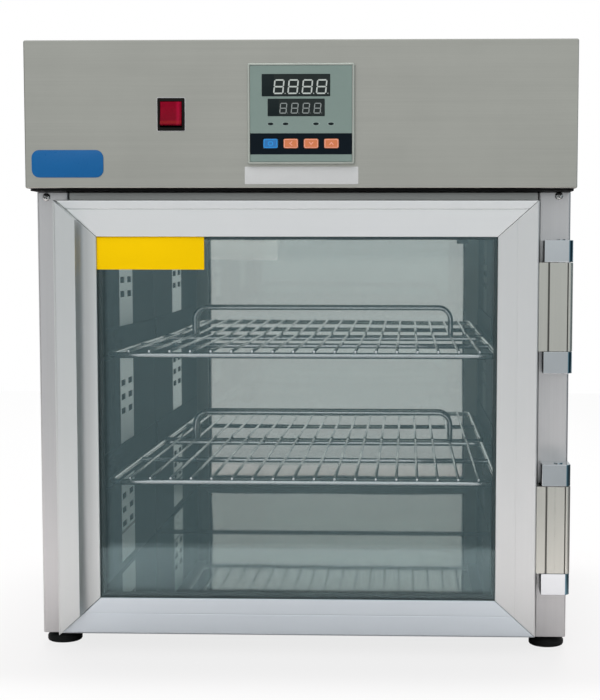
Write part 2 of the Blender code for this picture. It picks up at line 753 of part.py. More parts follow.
def build_fan():
    z_plate = z_ceiling + LINER_SHEET + FAN_LIFT
    pivot = add_pivot("fan_pivot", (fan_centre.x, fan_centre.y, z_plate))
    bore = circle((0, 0), SHAFT_RADIUS + SEAT, 16)
    wheel = []
    step = 360 / FAN_BLADES
    half_root = math.degrees(FAN_BLADE / 2 / FAN_HUB_RADIUS)
    for i in range(FAN_BLADES):
        start = i * step
        tip = start + FAN_SWEEP_DEG
        half_tip = math.degrees(FAN_BLADE / 2 / FAN_RADIUS)
        middle_radius = (FAN_HUB_RADIUS + FAN_RADIUS) / 2
        half_middle = math.degrees(FAN_BLADE / 2 / middle_radius)
        bow = start + FAN_SWEEP_DEG * 0.35
        for radius, angle in ((FAN_HUB_RADIUS, start - half_root), (middle_radius, bow - half_middle),
                              (FAN_RADIUS, tip - half_tip), (FAN_RADIUS, tip + half_tip),
                              (middle_radius, bow + half_middle), (FAN_HUB_RADIUS, start + half_root)):
            wheel.append((radius * math.cos(math.radians(angle)), radius * math.sin(math.radians(angle))))
    blades = plate("blades", [wheel, bore], FAN_PLATE / 2, FAN_HEIGHT, "XY", "galvanised_steel")
    disc = plate("disc", [circle((0, 0), FAN_RADIUS, 36), bore], 0, FAN_PLATE, "XY", "galvanised_steel")
    impeller = add_node("fan_impeller", solid_mesh(disc), "galvanised_steel", pivot.location, pivot)
    join(impeller, add_helper("fan_blades", solid_mesh(blades), pivot.location))

    shaft_low = z_plate - (z_deck + SEAT)
    turned("fan_motor", [
        (0, MOTOR_HEIGHT),
        (MOTOR_RADIUS - MOTOR_CROWN, MOTOR_HEIGHT),
        (MOTOR_RADIUS, MOTOR_HEIGHT - MOTOR_CROWN),
        (MOTOR_RADIUS, MOTOR_FLANGE),
        (MOTOR_FLANGE_RADIUS, MOTOR_FLANGE),
        (MOTOR_FLANGE_RADIUS, 0),
        (SHAFT_RADIUS, 0),
        (SHAFT_RADIUS, shaft_low),
        (0, shaft_low),
    ], (fan_centre.x, fan_centre.y, z_deck + SEAT), "galvanised_steel", 28)


def solid_mesh(obj):
    """A closed mesh of a plate, in world places, with the plate removed."""
    bpy.context.view_layer.update()
    graph = bpy.context.evaluated_depsgraph_get()
    mesh = bpy.data.meshes.new_from_object(obj.evaluated_get(graph))
    mesh.transform(obj.matrix_world)
    bpy.data.objects.remove(obj, do_unlink=True)
    bm = bmesh.new()
    bm.from_mesh(mesh)
    bmesh.ops.remove_doubles(bm, verts=bm.verts, dist=0.00001)
    bmesh.ops.recalc_face_normals(bm, faces=bm.faces)
    bm.to_mesh(mesh)
    bm.free()
    return mesh


def build_heater():
    z_ring = (z_ceiling + LINER_SHEET + z_plenum_top) / 2
    z_stub = z_deck + HEATER_STUB
    start = 90 + HEATER_OPEN_DEG / 2
    ring = arc((0, 0), HEATER_RING_RADIUS, start, start + 360 - HEATER_OPEN_DEG, 28)
    centre = Vector((fan_centre.x, fan_centre.y, z_ring))
    rise = [(0, 0, z_stub - z_ring), (0, 0, HEATER_BEND)]
    path = [Vector((*ring[0], 0)) + Vector(step) for step in rise]
    path += [Vector((x, y, 0)) for x, y in ring]
    path += [Vector((*ring[-1], 0)) + Vector(step) for step in rise[::-1]]
    mesh = tube_mesh("heater_element", path, HEATER_TUBE_RADIUS, 2)
    mesh.shade_smooth()
    add_node("heater_element", mesh, "galvanised_steel", centre)


# Control head

def build_hood():
    bm, centre = box_bmesh((-half_head, y_fascia, z_head), (half_head, y_rear, z_top))
    back = [face for face in bm.faces if face.normal.y > 0.5]
    bmesh.ops.delete(bm, geom=back, context="FACES")
    under = [face for face in bm.faces if face.normal.z < -0.5]
    bmesh.ops.inset_region(bm, faces=under, thickness=HEAD_RETURN, use_boundary=True, use_even_offset=True)
    bmesh.ops.delete(bm, geom=under, context="FACES")
    folds = [edge for edge in bm.edges
             if len(edge.link_faces) == 2 and edge.calc_face_angle() > math.radians(60)]
    bmesh.ops.bevel(bm, geom=folds, offset=HEAD_EDGE, segments=2, profile=0.5, affect="EDGES")
    hood = add_node("control_hood", mesh_of(bm, "control_hood"), "brushed_stainless", centre)
    wall = hood.modifiers.new("sheet", "SOLIDIFY")
    wall.thickness = SHEET
    wall.offset = -1.0
    wall.use_even_offset = True
    through = (y_fascia - SHEET, y_fascia + 2 * SHEET)
    for name, x, z, width, height in (
        ("switch_cutout", x_switch, z_rocker, SWITCH_BODY_WIDTH, SWITCH_BODY_HEIGHT),
        ("controller_cutout", CONTROLLER_X, z_controller, CONTROLLER_BODY_WIDTH, CONTROLLER_BODY_HEIGHT),
    ):
        half_w, half_h = width / 2 + SEAT, height / 2 + SEAT
        cut(hood, box_helper(name, (x - half_w, through[0], z - half_h),
                             (x + half_w, through[1], z + half_h)))

    louvres = []
    for i in range(LOUVRE_COUNT):
        z = z_deck + LOUVRE_RISE + (i - (LOUVRE_COUNT - 1) / 2) * LOUVRE_PITCH
        louvres.append(round_rectangle((x_louvre - LOUVRE_LENGTH / 2, z - LOUVRE_SLOT / 2),
                                       (x_louvre + LOUVRE_LENGTH / 2, z + LOUVRE_SLOT / 2),
                                       LOUVRE_SLOT * 0.45, 2))
    z_inlet = z_deck + INLET_RISE
    inlet_hole = rectangle((x_inlet - INLET_BODY_WIDTH / 2 - SEAT, z_inlet - INLET_BODY_HEIGHT / 2 - SEAT),
                           (x_inlet + INLET_BODY_WIDTH / 2 + SEAT, z_inlet + INLET_BODY_HEIGHT / 2 + SEAT))
    plate("head_rear_panel",
          [rectangle((-x_head_inside, z_head + SHEET + SEAT), (x_head_inside, z_top - SHEET - SEAT)),
           inlet_hole, *louvres], y_rear - SHEET, y_rear, "XZ", "brushed_stainless")


def build_inlet():
    z = z_deck + INLET_RISE
    inlet = box("power_inlet", (x_inlet - INLET_WIDTH / 2, y_rear + SEAT, z - INLET_HEIGHT / 2),
                (x_inlet + INLET_WIDTH / 2, y_rear + INLET_FLANGE, z + INLET_HEIGHT / 2), "black_plastic")
    half_w, half_h = INLET_BODY_WIDTH / 2, INLET_BODY_HEIGHT / 2
    body = box_helper("inlet_body", (x_inlet - half_w, y_rear - INLET_BODY_DEPTH, z - half_h),
                      (x_inlet + half_w, y_rear + INLET_FLANGE / 2 + SEAT, z + half_h))
    half_w, half_h = half_w - INLET_WALL, half_h - INLET_WALL
    socket = box_helper("inlet_socket", (x_inlet - half_w, y_rear - INLET_RECESS, z - half_h),
                        (x_inlet + half_w, y_rear + 2 * INLET_FLANGE, z + half_h))
    join(inlet, body)
    cut(inlet, socket)


def build_electrics():
    z = z_deck + SEAT
    half = Vector(RELAY_SIZE) / 2
    x_relay = RELAY_SIDE_GAP + half.x - x_head_inside
    centre = Vector((x_relay, y_body + RELAY_BACK, z + half.z))
    box("relay", centre - half, centre + half, "black_plastic", edge=KEY_CORNER)

    width = TERMINAL_POLES * TERMINAL_PITCH + TERMINAL_WALL
    left = x_head_inside - TERMINAL_SIDE_GAP - width
    comb = [(left, z), (left + width, z)]
    for i in range(TERMINAL_POLES, 0, -1):
        right_wall = left + i * TERMINAL_PITCH + TERMINAL_WALL
        comb += [(right_wall, z + TERMINAL_HEIGHT), (right_wall - TERMINAL_WALL, z + TERMINAL_HEIGHT),
                 (right_wall - TERMINAL_WALL, z + TERMINAL_FLOOR),
                 (right_wall - TERMINAL_PITCH, z + TERMINAL_FLOOR)]
    comb += [(left + TERMINAL_WALL, z + TERMINAL_HEIGHT), (left, z + TERMINAL_HEIGHT)]
    y_terminal = y_body + TERMINAL_BACK
    plate("terminal_block", [comb], y_terminal, y_terminal + TERMINAL_DEPTH, "XZ", "black_plastic")

    turned("safety_thermostat", [
        (0, THERMOSTAT_HEIGHT),
        (THERMOSTAT_RADIUS * 0.7, THERMOSTAT_HEIGHT),
        (THERMOSTAT_RADIUS * 0.7, THERMOSTAT_HEIGHT / 2),
        (THERMOSTAT_RADIUS, THERMOSTAT_HEIGHT / 2),
        (THERMOSTAT_RADIUS, 0),
        (0, 0),
    ], (fan_centre.x + THERMOSTAT_FAN_GAP, fan_centre.y, z), "galvanised_steel", 18)


def build_switch():
    half_w, half_h = SWITCH_WIDTH / 2, SWITCH_HEIGHT / 2
    housing = box("switch_housing", (x_switch - half_w, y_fascia - SWITCH_PROUD, z_rocker - half_h),
                  (x_switch + half_w, y_fascia - SEAT, z_rocker + half_h), "black_plastic", edge=0.0006)
    half_w, half_h = SWITCH_BODY_WIDTH / 2, SWITCH_BODY_HEIGHT / 2
    body = box_helper("switch_body", (x_switch - half_w, y_fascia - SWITCH_PROUD / 2, z_rocker - half_h),
                      (x_switch + half_w, y_fascia + SWITCH_BODY_DEPTH, z_rocker + half_h))
    half_w, half_h = ROCKER_WIDTH / 2 + SEAT, ROCKER_HALF + ROCKER_END_GAP
    well = box_helper("switch_well", (x_switch - half_w, y_fascia - 2 * SWITCH_PROUD, z_rocker - half_h),
                      (x_switch + half_w, y_fascia + SWITCH_RECESS_DEPTH, z_rocker + half_h))
    join(housing, body)
    cut(housing, well)

    pivot = add_pivot("rocker_pivot", (x_switch, y_rocker, z_rocker))
    tilt = Matrix.Rotation(math.radians(-ROCKER_TILT_DEG), 2)
    dish = ROCKER_CROWN - ROCKER_DISH
    dish_radius = (ROCKER_HALF ** 2 + dish ** 2) / (2 * dish)
    dish_deg = math.degrees(math.asin(ROCKER_HALF / dish_radius))
    neutral = [*arc((-ROCKER_DISH - dish_radius, 0), dish_radius, dish_deg, -dish_deg, 8),
               (-ROCKER_SIDE, -ROCKER_HALF), *arc((0, 0), ROCKER_BACK, -60, 60, 6),
               (-ROCKER_SIDE, ROCKER_HALF)]
    outline = []
    for point in neutral:
        y, z = tilt @ Vector(point)
        outline.append((y_rocker + y, z_rocker + z))
    plate("rocker", [outline], x_switch - ROCKER_WIDTH / 2, x_switch + ROCKER_WIDTH / 2, "YZ", "red_plastic",
          pivot)


def build_controller():
    half_w, half_h = CONTROLLER_WIDTH / 2, CONTROLLER_HEIGHT / 2
    y_rim = y_fascia - CONTROLLER_PROUD
    case = box("controller_case", (CONTROLLER_X - half_w, y_rim, z_controller - half_h),
               (CONTROLLER_X + half_w, y_fascia - SEAT, z_controller + half_h), "black_plastic",
               edge=CONTROLLER_EDGE)
    half_w, half_h = CONTROLLER_BODY_WIDTH / 2, CONTROLLER_BODY_HEIGHT / 2
    body = box_helper("controller_body",
                      (CONTROLLER_X - half_w, y_rim + 2 * PANEL_RECESS, z_controller - half_h),
                      (CONTROLLER_X + half_w, y_fascia + CONTROLLER_BODY_DEPTH, z_controller + half_h))
    half_w, half_h = PANEL_WIDTH / 2 + SEAT, PANEL_HEIGHT / 2 + SEAT
    y_well = y_rim + PANEL_RECESS
    well = box_helper("controller_well",
                      (CONTROLLER_X - half_w, y_rim - PANEL_RECESS, z_controller - half_h),
                      (CONTROLLER_X + half_w, y_well, z_controller + half_h))
    join(case, body)
    cut(case, well)

    z_keys = z_controller - KEY_DROP
    half_w, half_h = KEY_WIDTH / 2, KEY_HEIGHT / 2
    key_places = [CONTROLLER_X + (i - (KEY_COUNT - 1) / 2) * KEY_PITCH for i in range(KEY_COUNT)]
    holes = [round_rectangle((x - half_w - SEAT, z_keys - half_h - SEAT),
                             (x + half_w + SEAT, z_keys + half_h + SEAT), KEY_CORNER) for x in key_places]
    panel = rectangle((CONTROLLER_X - PANEL_WIDTH / 2, z_controller - PANEL_HEIGHT / 2),
                      (CONTROLLER_X + PANEL_WIDTH / 2, z_controller + PANEL_HEIGHT / 2))
    y_panel = y_well - SEAT - PANEL_SHEET
    plate("controller_panel", [panel, *holes], y_panel, y_panel + PANEL_SHEET, "XZ", "grey_plastic")
    for i, x in enumerate(key_places):
        colour = "blue_plastic" if i == 0 else "orange_plastic"
        plate(f"controller_key_{i + 1}",
              [round_rectangle((x - half_w, z_keys - half_h), (x + half_w, z_keys + half_h), KEY_CORNER)],
              y_panel - KEY_PROUD, y_well - KEY_LIFT, "XZ", colour)


# Door

def frame_profile(width, front):
    """A door member's section: across from the outer edge, and back from the front face."""
    channel_back = door_thickness - BACK_LIP
    if front == "handle":
        cove_x = HANDLE_WIDTH + HANDLE_SLOPE + HANDLE_COVE
        shape = [(0, -HANDLE_PROUD + HANDLE_ROUND)]
        shape += [(HANDLE_ROUND * (1 - math.cos(a)), -HANDLE_PROUD + HANDLE_ROUND * (1 - math.sin(a)))
                  for a in (math.radians(30), math.radians(60), math.radians(90))]
        shape += [(HANDLE_WIDTH, -HANDLE_PROUD), *arc((cove_x, -HANDLE_COVE), HANDLE_COVE, 180, 90, 5)]
    elif front == "groove":
        low, high = GROOVE_INSET - GROOVE_WIDTH / 2, GROOVE_INSET + GROOVE_WIDTH / 2
        shape = [(0, FRAME_EDGE), (FRAME_EDGE, 0), (low, 0), (low, GROOVE_DEPTH),
                 (high, GROOVE_DEPTH), (high, 0)]
    else:
        low, high = SEAM_INSET - SEAM_WIDTH / 2, SEAM_INSET + SEAM_WIDTH / 2
        shape = [(0, FRAME_EDGE), (FRAME_EDGE, 0), (low, 0), (SEAM_INSET, SEAM_DEPTH), (high, 0)]
    return shape + [
        (width, 0),
        (width, FRONT_LIP),
        (width - CHANNEL_DEPTH, FRONT_LIP),
        (width - CHANNEL_DEPTH, channel_back),
        (width, channel_back),
        (width, door_thickness),
        (0, door_thickness),
    ]


def door_member(name, corner, inward, along, length, width, start_ratio, end_ratio, pivot, front="seam"):
    """A mitred member: its section runs inward from the corner, and each end slopes with the mitre."""
    bm = bmesh.new()
    back = Vector((0, 1, 0))
    section = frame_profile(width, front)
    ring = [bm.verts.new(corner + inward * u + back * v) for u, v in section]
    face = bm.faces.new(ring)
    made = bmesh.ops.extrude_face_region(bm, geom=[face])
    far_end = {vert for vert in made["geom"] if isinstance(vert, bmesh.types.BMVert)}
    for vert in bm.verts:
        across = (vert.co - corner).dot(inward)
        if vert in far_end:
            vert.co += along * (length - across * end_ratio - MITRE_GAP)
        else:
            vert.co += along * (across * start_ratio + MITRE_GAP)
    bmesh.ops.recalc_face_normals(bm, faces=bm.faces)
    bmesh.ops.translate(bm, vec=-pivot.location, verts=bm.verts)
    add_node(name, mesh_of(bm, name), "anodised_aluminium", pivot.location, pivot)


def build_door():
    pivot = add_pivot("door_pivot", hinge_axis)
    width, height = x_door_right - x_door_left, z_door_top - z_door_bottom
    right, up = Vector((1, 0, 0)), Vector((0, 0, 1))
    bottom_left = Vector((x_door_left, y_door, z_door_bottom))
    bottom_right = Vector((x_door_right, y_door, z_door_bottom))
    top_left = Vector((x_door_left, y_door, z_door_top))
    bottom_ratio, top_ratio = FRAME_BOTTOM / FRAME_SIDE, FRAME_TOP / FRAME_SIDE
    door_member("door_handle_stile", bottom_left, right, up, height, FRAME_SIDE, bottom_ratio, top_ratio,
                pivot, front="handle")
    door_member("door_hinge_stile", bottom_right, -right, up, height, FRAME_SIDE, bottom_ratio, top_ratio,
                pivot)
    door_member("door_bottom_rail", bottom_left, up, right, width, FRAME_BOTTOM, 1 / bottom_ratio,
                1 / bottom_ratio, pivot)
    door_member("door_top_rail", top_left, -up, right, width, FRAME_TOP, 1 / top_ratio, 1 / top_ratio, pivot,
                front="groove")

    def inset(left_right, top, bottom):
        return rectangle((x_door_left + left_right, z_door_bottom + bottom),
                         (x_door_right - left_right, z_door_top - top))

    pane = inset(FRAME_SIDE - GLASS_HOLD, FRAME_TOP - GLASS_HOLD, FRAME_BOTTOM - GLASS_HOLD)
    y_outer = y_door + FRONT_LIP + SEAT
    y_spacer = y_outer + GLASS + SEAT
    y_inner = y_spacer + SPACER + SEAT
    plate("outer_glass", [pane], y_outer, y_outer + GLASS, "XZ", "clear_glass", pivot)
    plate("glazing_spacer",
          [pane, inset(FRAME_SIDE + SPACER_SHOW, FRAME_TOP + SPACER_SHOW, FRAME_BOTTOM + SPACER_SHOW)],
          y_spacer, y_spacer + SPACER, "XZ", "black_plastic", pivot)
    plate("inner_glass", [pane], y_inner, y_inner + GLASS, "XZ", "clear_glass", pivot)
    inner_edge = GASKET_INSET + GASKET_WIDTH
    plate("door_gasket",
          [inset(GASKET_INSET, GASKET_INSET, GASKET_INSET), inset(inner_edge, inner_edge, inner_edge)],
          y_door_back + SEAT, y_front_frame - SEAT, "XZ", "black_rubber", pivot)
    return pivot


def knuckle_outline():
    """The moving part of a hinge seen from above: a leaf on the door's edge, a web and a barrel."""
    x_leaf = hinge_axis.x - HINGE_OFFSET + SEAT
    front = hinge_axis.y - HINGE_FRONT
    right = hinge_axis.x + BARREL_RADIUS
    back_of_web = front + KNUCKLE_WEB
    bottom = front + KNUCKLE_GROOVE_DEPTH
    slits = []
    for x, width in ((hinge_axis.x - KNUCKLE_GROOVE_X, KNUCKLE_GROOVE),
                     (right - KNUCKLE_EDGE, KNUCKLE_SLIT)):
        low, high = x - width / 2, x + width / 2
        slits += [(low, front), (low, bottom), (high, bottom), (high, front)]
    return [
        (x_leaf, front),
        *slits,
        *arc((right - KNUCKLE_ROUND, front + KNUCKLE_ROUND), KNUCKLE_ROUND, -90, 0, 4),
        *arc((hinge_axis.x, hinge_axis.y), BARREL_RADIUS, 0, 180, 12),
        (hinge_axis.x - BARREL_RADIUS, back_of_web),
        (x_leaf + KNUCKLE_LEAF, back_of_web),
        (x_leaf + KNUCKLE_LEAF, hinge_axis.y + KNUCKLE_LEAF_BACK),
        (x_leaf, hinge_axis.y + KNUCKLE_LEAF_BACK),
    ]


def build_hinge(name, z_low, door_pivot):
    z_high = z_low + HINGE_HEIGHT
    front, back = hinge_axis.y - HINGE_FRONT, y_body - SEAT
    plate_front = back - HINGE_PLATE
    block_low, block_high = z_low + HINGE_BLOCK, z_high - HINGE_BLOCK
    side_view = [(front, z_low), (back, z_low), (back, z_high), (front, z_high), (front, block_high),
                 (plate_front, block_high), (plate_front, block_low), (front, block_low)]
    blank = plate(f"{name}_blank", [side_view], hinge_axis.x - HINGE_BLOCK_LEFT,
                  hinge_axis.x + BARREL_RADIUS, "YZ", "chrome")
    bm = bmesh.new()
    bm.from_mesh(solid_mesh(blank))
    bm.verts.ensure_lookup_table()
    x_right = max(vert.co.x for vert in bm.verts)
    corners = [edge for edge in bm.edges
               if all(vert.co.x > x_right - SEAT and vert.co.y < front + SEAT for vert in edge.verts)
               and abs(edge.verts[0].co.z - edge.verts[1].co.z) > HINGE_BLOCK / 2]
    bmesh.ops.bevel(bm, geom=corners, offset=HINGE_ROUND, segments=4, profile=0.5, affect="EDGES")
    place = Vector((hinge_axis.x, hinge_axis.y, z_low))
    bmesh.ops.translate(bm, vec=-place, verts=bm.verts)
    bracket = add_node(f"{name}_hinge_bracket", mesh_of(bm, name), "chrome", place)
    cut(bracket, round_helper(f"{name}_pin_bore", hinge_axis, PIN_RADIUS + SEAT,
                              z_low - HINGE_BLOCK, z_high + HINGE_BLOCK))

    bm = bmesh.new()
    bmesh.ops.create_cone(bm, cap_ends=True, segments=20, radius1=PIN_RADIUS, radius2=PIN_RADIUS,
                          depth=HINGE_HEIGHT + 2 * PIN_STUB)
    middle = Vector((hinge_axis.x, hinge_axis.y, (z_low + z_high) / 2))
    add_node(f"{name}_hinge_pin", mesh_of(bm, name + "_pin", smooth=True), "chrome", middle)
    plate(f"{name}_hinge_knuckle", [knuckle_outline(), circle(hinge_axis, PIN_RADIUS + SEAT, 20)],
          block_low + KNUCKLE_RUN, block_high - KNUCKLE_RUN, "XY", "brushed_stainless", door_pivot)


build_body()
build_feet()
build_cavity()
build_shelves()
build_fan()
build_heater()
build_hood()
build_inlet()
build_electrics()
build_switch()
build_controller()
door = build_door()
build_hinge("upper", z_door_top - UPPER_HINGE_DROP - HINGE_HEIGHT, door)
build_hinge("lower", z_door_bottom + LOWER_HINGE_RISE, door)
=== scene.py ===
import json
import math

import bmesh
import bpy
from mathutils import Matrix, Vector

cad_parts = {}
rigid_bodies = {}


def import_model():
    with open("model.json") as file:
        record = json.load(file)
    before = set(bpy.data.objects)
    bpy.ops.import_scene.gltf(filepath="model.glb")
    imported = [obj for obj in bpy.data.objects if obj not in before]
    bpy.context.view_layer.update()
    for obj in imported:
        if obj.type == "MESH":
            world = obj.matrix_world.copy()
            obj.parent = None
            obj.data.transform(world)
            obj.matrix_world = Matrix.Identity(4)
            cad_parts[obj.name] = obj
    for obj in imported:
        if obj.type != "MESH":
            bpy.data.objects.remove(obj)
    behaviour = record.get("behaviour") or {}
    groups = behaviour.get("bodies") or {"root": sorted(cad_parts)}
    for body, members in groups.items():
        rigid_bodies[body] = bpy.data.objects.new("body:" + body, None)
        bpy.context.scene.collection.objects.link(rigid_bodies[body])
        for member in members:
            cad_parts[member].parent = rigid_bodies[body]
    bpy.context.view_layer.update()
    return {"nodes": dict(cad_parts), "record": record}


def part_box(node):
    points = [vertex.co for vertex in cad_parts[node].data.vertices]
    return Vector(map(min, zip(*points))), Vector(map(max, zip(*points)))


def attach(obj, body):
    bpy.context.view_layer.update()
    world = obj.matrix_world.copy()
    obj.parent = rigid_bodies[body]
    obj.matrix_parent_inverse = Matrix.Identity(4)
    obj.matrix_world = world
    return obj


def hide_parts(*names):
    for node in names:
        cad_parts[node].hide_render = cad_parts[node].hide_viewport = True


for leftover in list(bpy.data.objects):
    bpy.data.objects.remove(leftover)
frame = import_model()
nodes = frame["nodes"]
ops = bmesh.ops
scene = bpy.context.scene
scene.view_settings.view_transform = "Standard"
scene.cycles.transparent_max_bounces = 24  # the door has four glass faces, passed twice
print("frame loaded,", len(nodes), "nodes")


# Node wiring: sums and products of sockets add Math nodes, anything else goes through node()

mixSockets = {"a": 6, "b": 7, "result": 2}  # the colour sockets of a Mix node


def mathNode(operation, flipped=False):
    def method(self, other):
        return self.math(operation, other, self) if flipped else self.math(operation, self, other)
    return method


class Wire:
    def __init__(self, tree, socket):
        self.tree, self.socket = tree, socket

    def node(self, kind, inputs, out=0, **settings):
        made = self.tree.nodes.new("ShaderNode" + kind)
        for key, value in settings.items():
            setattr(made, key, value)
        for key, value in inputs.items():
            if isinstance(value, Wire):
                self.tree.links.new(value.socket, made.inputs[key])
            else:
                made.inputs[key].default_value = value
        return Wire(self.tree, made.outputs[out])

    def out(self, name):
        return Wire(self.tree, self.socket.node.outputs[name])

    def part(self, axis):
        return self.node("SeparateXYZ", {0: self}, axis)

    def math(self, operation, a, b):
        return self.node("Math", {0: a, 1: b}, operation=operation)

    __add__, __radd__ = mathNode("ADD"), mathNode("ADD", True)
    __sub__, __rsub__ = mathNode("SUBTRACT"), mathNode("SUBTRACT", True)
    __mul__, __rmul__ = mathNode("MULTIPLY"), mathNode("MULTIPLY", True)
    __pow__, __gt__, __lt__ = mathNode("POWER"), mathNode("GREATER_THAN"), mathNode("LESS_THAN")
    atLeast, atMost = mathNode("MAXIMUM"), mathNode("MINIMUM")

    def __abs__(self):
        return self.math("ABSOLUTE", self, 0.0)

    def swing(self, amount):
        # how far a noise strays from its middle, times an amount
        return (self - 0.5) * amount

    def step(self, low, high):
        return self.node("MapRange", {"Value": self, "From Min": low, "From Max": high},
                         interpolation_type="SMOOTHSTEP")

    def stepFrom(self, origin, pair):
        return self.step(origin + pair[0], origin + pair[1])

    def noise(self, scale, detail=2.0, rough=0.55):
        return self.node("TexNoise", {"Vector": self, "Scale": scale, "Detail": detail, "Roughness": rough})

    def stretched(self, scale):
        return self.node("Mapping", {"Vector": self, "Scale": scale})

    def blend(self, kind, share, a, b):
        return self.node("Mix", {0: share, mixSockets["a"]: rgba(a), mixSockets["b"]: rgba(b)}, mixSockets["result"],
                         data_type="RGBA", blend_type=kind)

    def mix(self, a, b):
        return self.blend("MIX", self, a, b)

    def tinted(self, colour):
        # this grey value times a colour
        return self.blend("MULTIPLY", 1.0, colour, self)

    def bump(self, strength, distance):
        return self.node("Bump", {"Height": self, "Strength": strength, "Distance": distance})


def gloss(level):
    return {"Specular IOR Level": level}


def rgba(colour):
    return colour if isinstance(colour, Wire) else (*colour, 1.0)


class Finish:
    # one material: fixed values on its own sockets, then what varies is fed in
    def __init__(self, name, slot, fixed):
        self.mat = bpy.data.materials.new(name)
        self.mat.use_nodes = True
        self.tree = self.mat.node_tree
        self.slot = slot
        self.shader = self.tree.nodes["Principled BSDF"]
        for key, value in fixed.items():
            self.shader.inputs[key].default_value = value
        coords = self.tree.nodes.new("ShaderNodeTexCoord")
        self.at = Wire(self.tree, coords.outputs["Object"])
        self.facing = Wire(self.tree, coords.outputs["Normal"])

    def feed(self, **wires):
        sockets = {"colour": "Base Color", "rough": "Roughness", "alpha": "Alpha", "normal": "Normal"}
        for key, wire in wires.items():
            self.tree.links.new(wire.socket, self.shader.inputs[sockets[key]])
        return self


# Makers of finishes, each with its settings beside it

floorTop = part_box("floor_pan")[1].z
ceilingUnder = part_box("ceiling_panel")[0].z
leafLow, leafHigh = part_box("upper_hinge_knuckle")
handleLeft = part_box("door_handle_stile")[0].x

brush = {"run": 7.0, "broadRun": 2.5, "broadFine": 0.12, "broadShare": 0.6, "mottle": 14.0, "smudges": 5.0,
         "smudgeEdge": (0.55, 0.75), "down": (-0.5, -0.8), "sheen": 1.5, "mottleSheen": 0.06, "groove": 0.72,
         "relief": 0.0001}


def brushedMetal(name, slot, tint, rough, along, depth=0.10, cloud=0.06, fine=1500.0, smudge=0.0, under=1.0,
                 grain=0.10, edge=1.0, corner=None, grooves=()):
    # grained sheet: fine streaks, a slow mottle, the odd smudge, painted shade on faces turned down, dark upright
    # lines of painted shade for grooves, and painted shade that gathers in one upright corner and thins out to its
    # right
    made = Finish(name, slot, {"Metallic": 1.0, "Specular Tint": (edge, edge, edge, 1.0)})
    at, across = made.at, made.at.part("X")
    lines = [brush["run"] if axis == along else fine for axis in "XYZ"]
    bands = [brush["broadRun"] if axis == along else fine * brush["broadFine"] for axis in "XYZ"]
    streaks = at.stretched(lines).noise(1.0, detail=4.0, rough=0.65)
    broad = at.stretched(bands).noise(1.0)
    mottle = at.noise(brush["mottle"], detail=3.0, rough=0.6)
    value = 1.0 + streaks.swing(depth) + broad.swing(depth) * brush["broadShare"] + mottle.swing(cloud)
    smeared = at.noise(brush["smudges"]).step(*brush["smudgeEdge"]) * smudge
    # painted shade: faces turned down are darkened by the given share
    if under < 1.0:
        value = value * (1.0 - made.facing.part("Z").step(*brush["down"]) * (1.0 - under))
    # painted shade: each groove is drawn as a dark upright line
    for centre, half in grooves:
        value = value * (1.0 - (across > centre - half) * (across < centre + half) * brush["groove"])
    # painted shade: darker next to an upright corner, fading out to its right
    if corner:
        start, reach, dark = corner
        thinned = 1.0 - ((across - start) * (1.0 / reach)).atMost(1.0)
        value = value * (1.0 - (across > start) * thinned * dark)
    return made.feed(colour=value.tinted(tint), normal=streaks.bump(grain, brush["relief"]),
                     rough=rough + streaks.swing(brush["sheen"]) * grain
                     + mottle.swing(brush["mottleSheen"]) + smeared)


rolled = {"waves": 6.0, "wave": 0.0003, "wipes": (3.0, 3.0, 60.0), "clouds": 25.0, "film": 0.05, "sheen": 0.8,
          "joint": 0.88, "jointBlend": 0.0008, "fade": 0.02}


def brightSheet(name, slot, tint, rough, joints=(), bow=None, dim=None, sunk=None):
    # rolled sheet: near mirror, slightly wavy, with a wiping film and dark joints; maybe a bow forwards
    # from one height up, a part darker above another height and painted shade fading in near its foot
    made = Finish(name, slot, {"Metallic": 1.0})
    at, height = made.at, made.at.part("Z")
    film, soft = rolled["film"], rolled["jointBlend"]
    relief = at.noise(rolled["waves"], detail=1.0) * rolled["wave"]
    wipes = at.stretched(rolled["wipes"]).noise(1.0, detail=3.0)
    value = 1.0 + wipes.swing(film) + at.noise(rolled["clouds"], detail=3.0).swing(film)
    for low, high in joints:
        value = value * (1.0 - height.step(low, low + soft) * height.step(high, high - soft) * rolled["joint"])
    if dim:
        start, dark = dim
        value = value * (1.0 - height.step(start, start + rolled["fade"]) * dark)
    # painted shade: darker towards its foot
    if sunk:
        low, high, dark = sunk
        value = value * (1.0 - height.step(high, low) * dark)
    if bow:
        start, curve = bow
        above = (height - start).atLeast(0.0)
        relief = relief + above * above * curve
    return made.feed(colour=value.tinted(tint), rough=rough * (1.0 + wipes.swing(rolled["sheen"])),
                     normal=relief.bump(1.0, 1.0))


mould = {"drift": 22.0, "pitShare": 0.7, "pitSheen": 0.12, "driftSheen": 0.08, "relief": 0.0002}


def moulded(name, slot, tint, rough, grain=900.0, depth=0.08, spread=0.08, fixed=None):
    # plastic, rubber, board, labels and cast metal: fine grain and slight colour drift
    made = Finish(name, slot, fixed or {})
    pits = made.at.noise(grain, rough=0.6)
    drift = made.at.noise(mould["drift"], detail=3.0)
    value = 1.0 + pits.swing(spread) * mould["pitShare"] + drift.swing(spread)
    return made.feed(colour=value.tinted(tint), normal=pits.bump(depth, mould["relief"]),
                     rough=rough + pits.swing(mould["pitSheen"]) + drift.swing(mould["driftSheen"]))


spangle = {"patches": 110.0, "darkest": 0.84, "range": 0.26, "clouds": 40.0, "cloud": 0.1, "sheen": 0.16}


def spangled(name, slot, tint, rough):
    # zinc-coated sheet: flat crystal patches of slightly different grey
    made = Finish(name, slot, {"Metallic": 1.0})
    at = made.at
    split = at.node("TexVoronoi", {"Vector": at, "Scale": spangle["patches"]}, "Color", feature="F1").part("X")
    clouds = at.noise(spangle["clouds"], detail=3.0)
    value = spangle["darkest"] + split * spangle["range"] + clouds.swing(spangle["cloud"])
    return made.feed(colour=value.tinted(tint), rough=rough + split.swing(spangle["sheen"]))


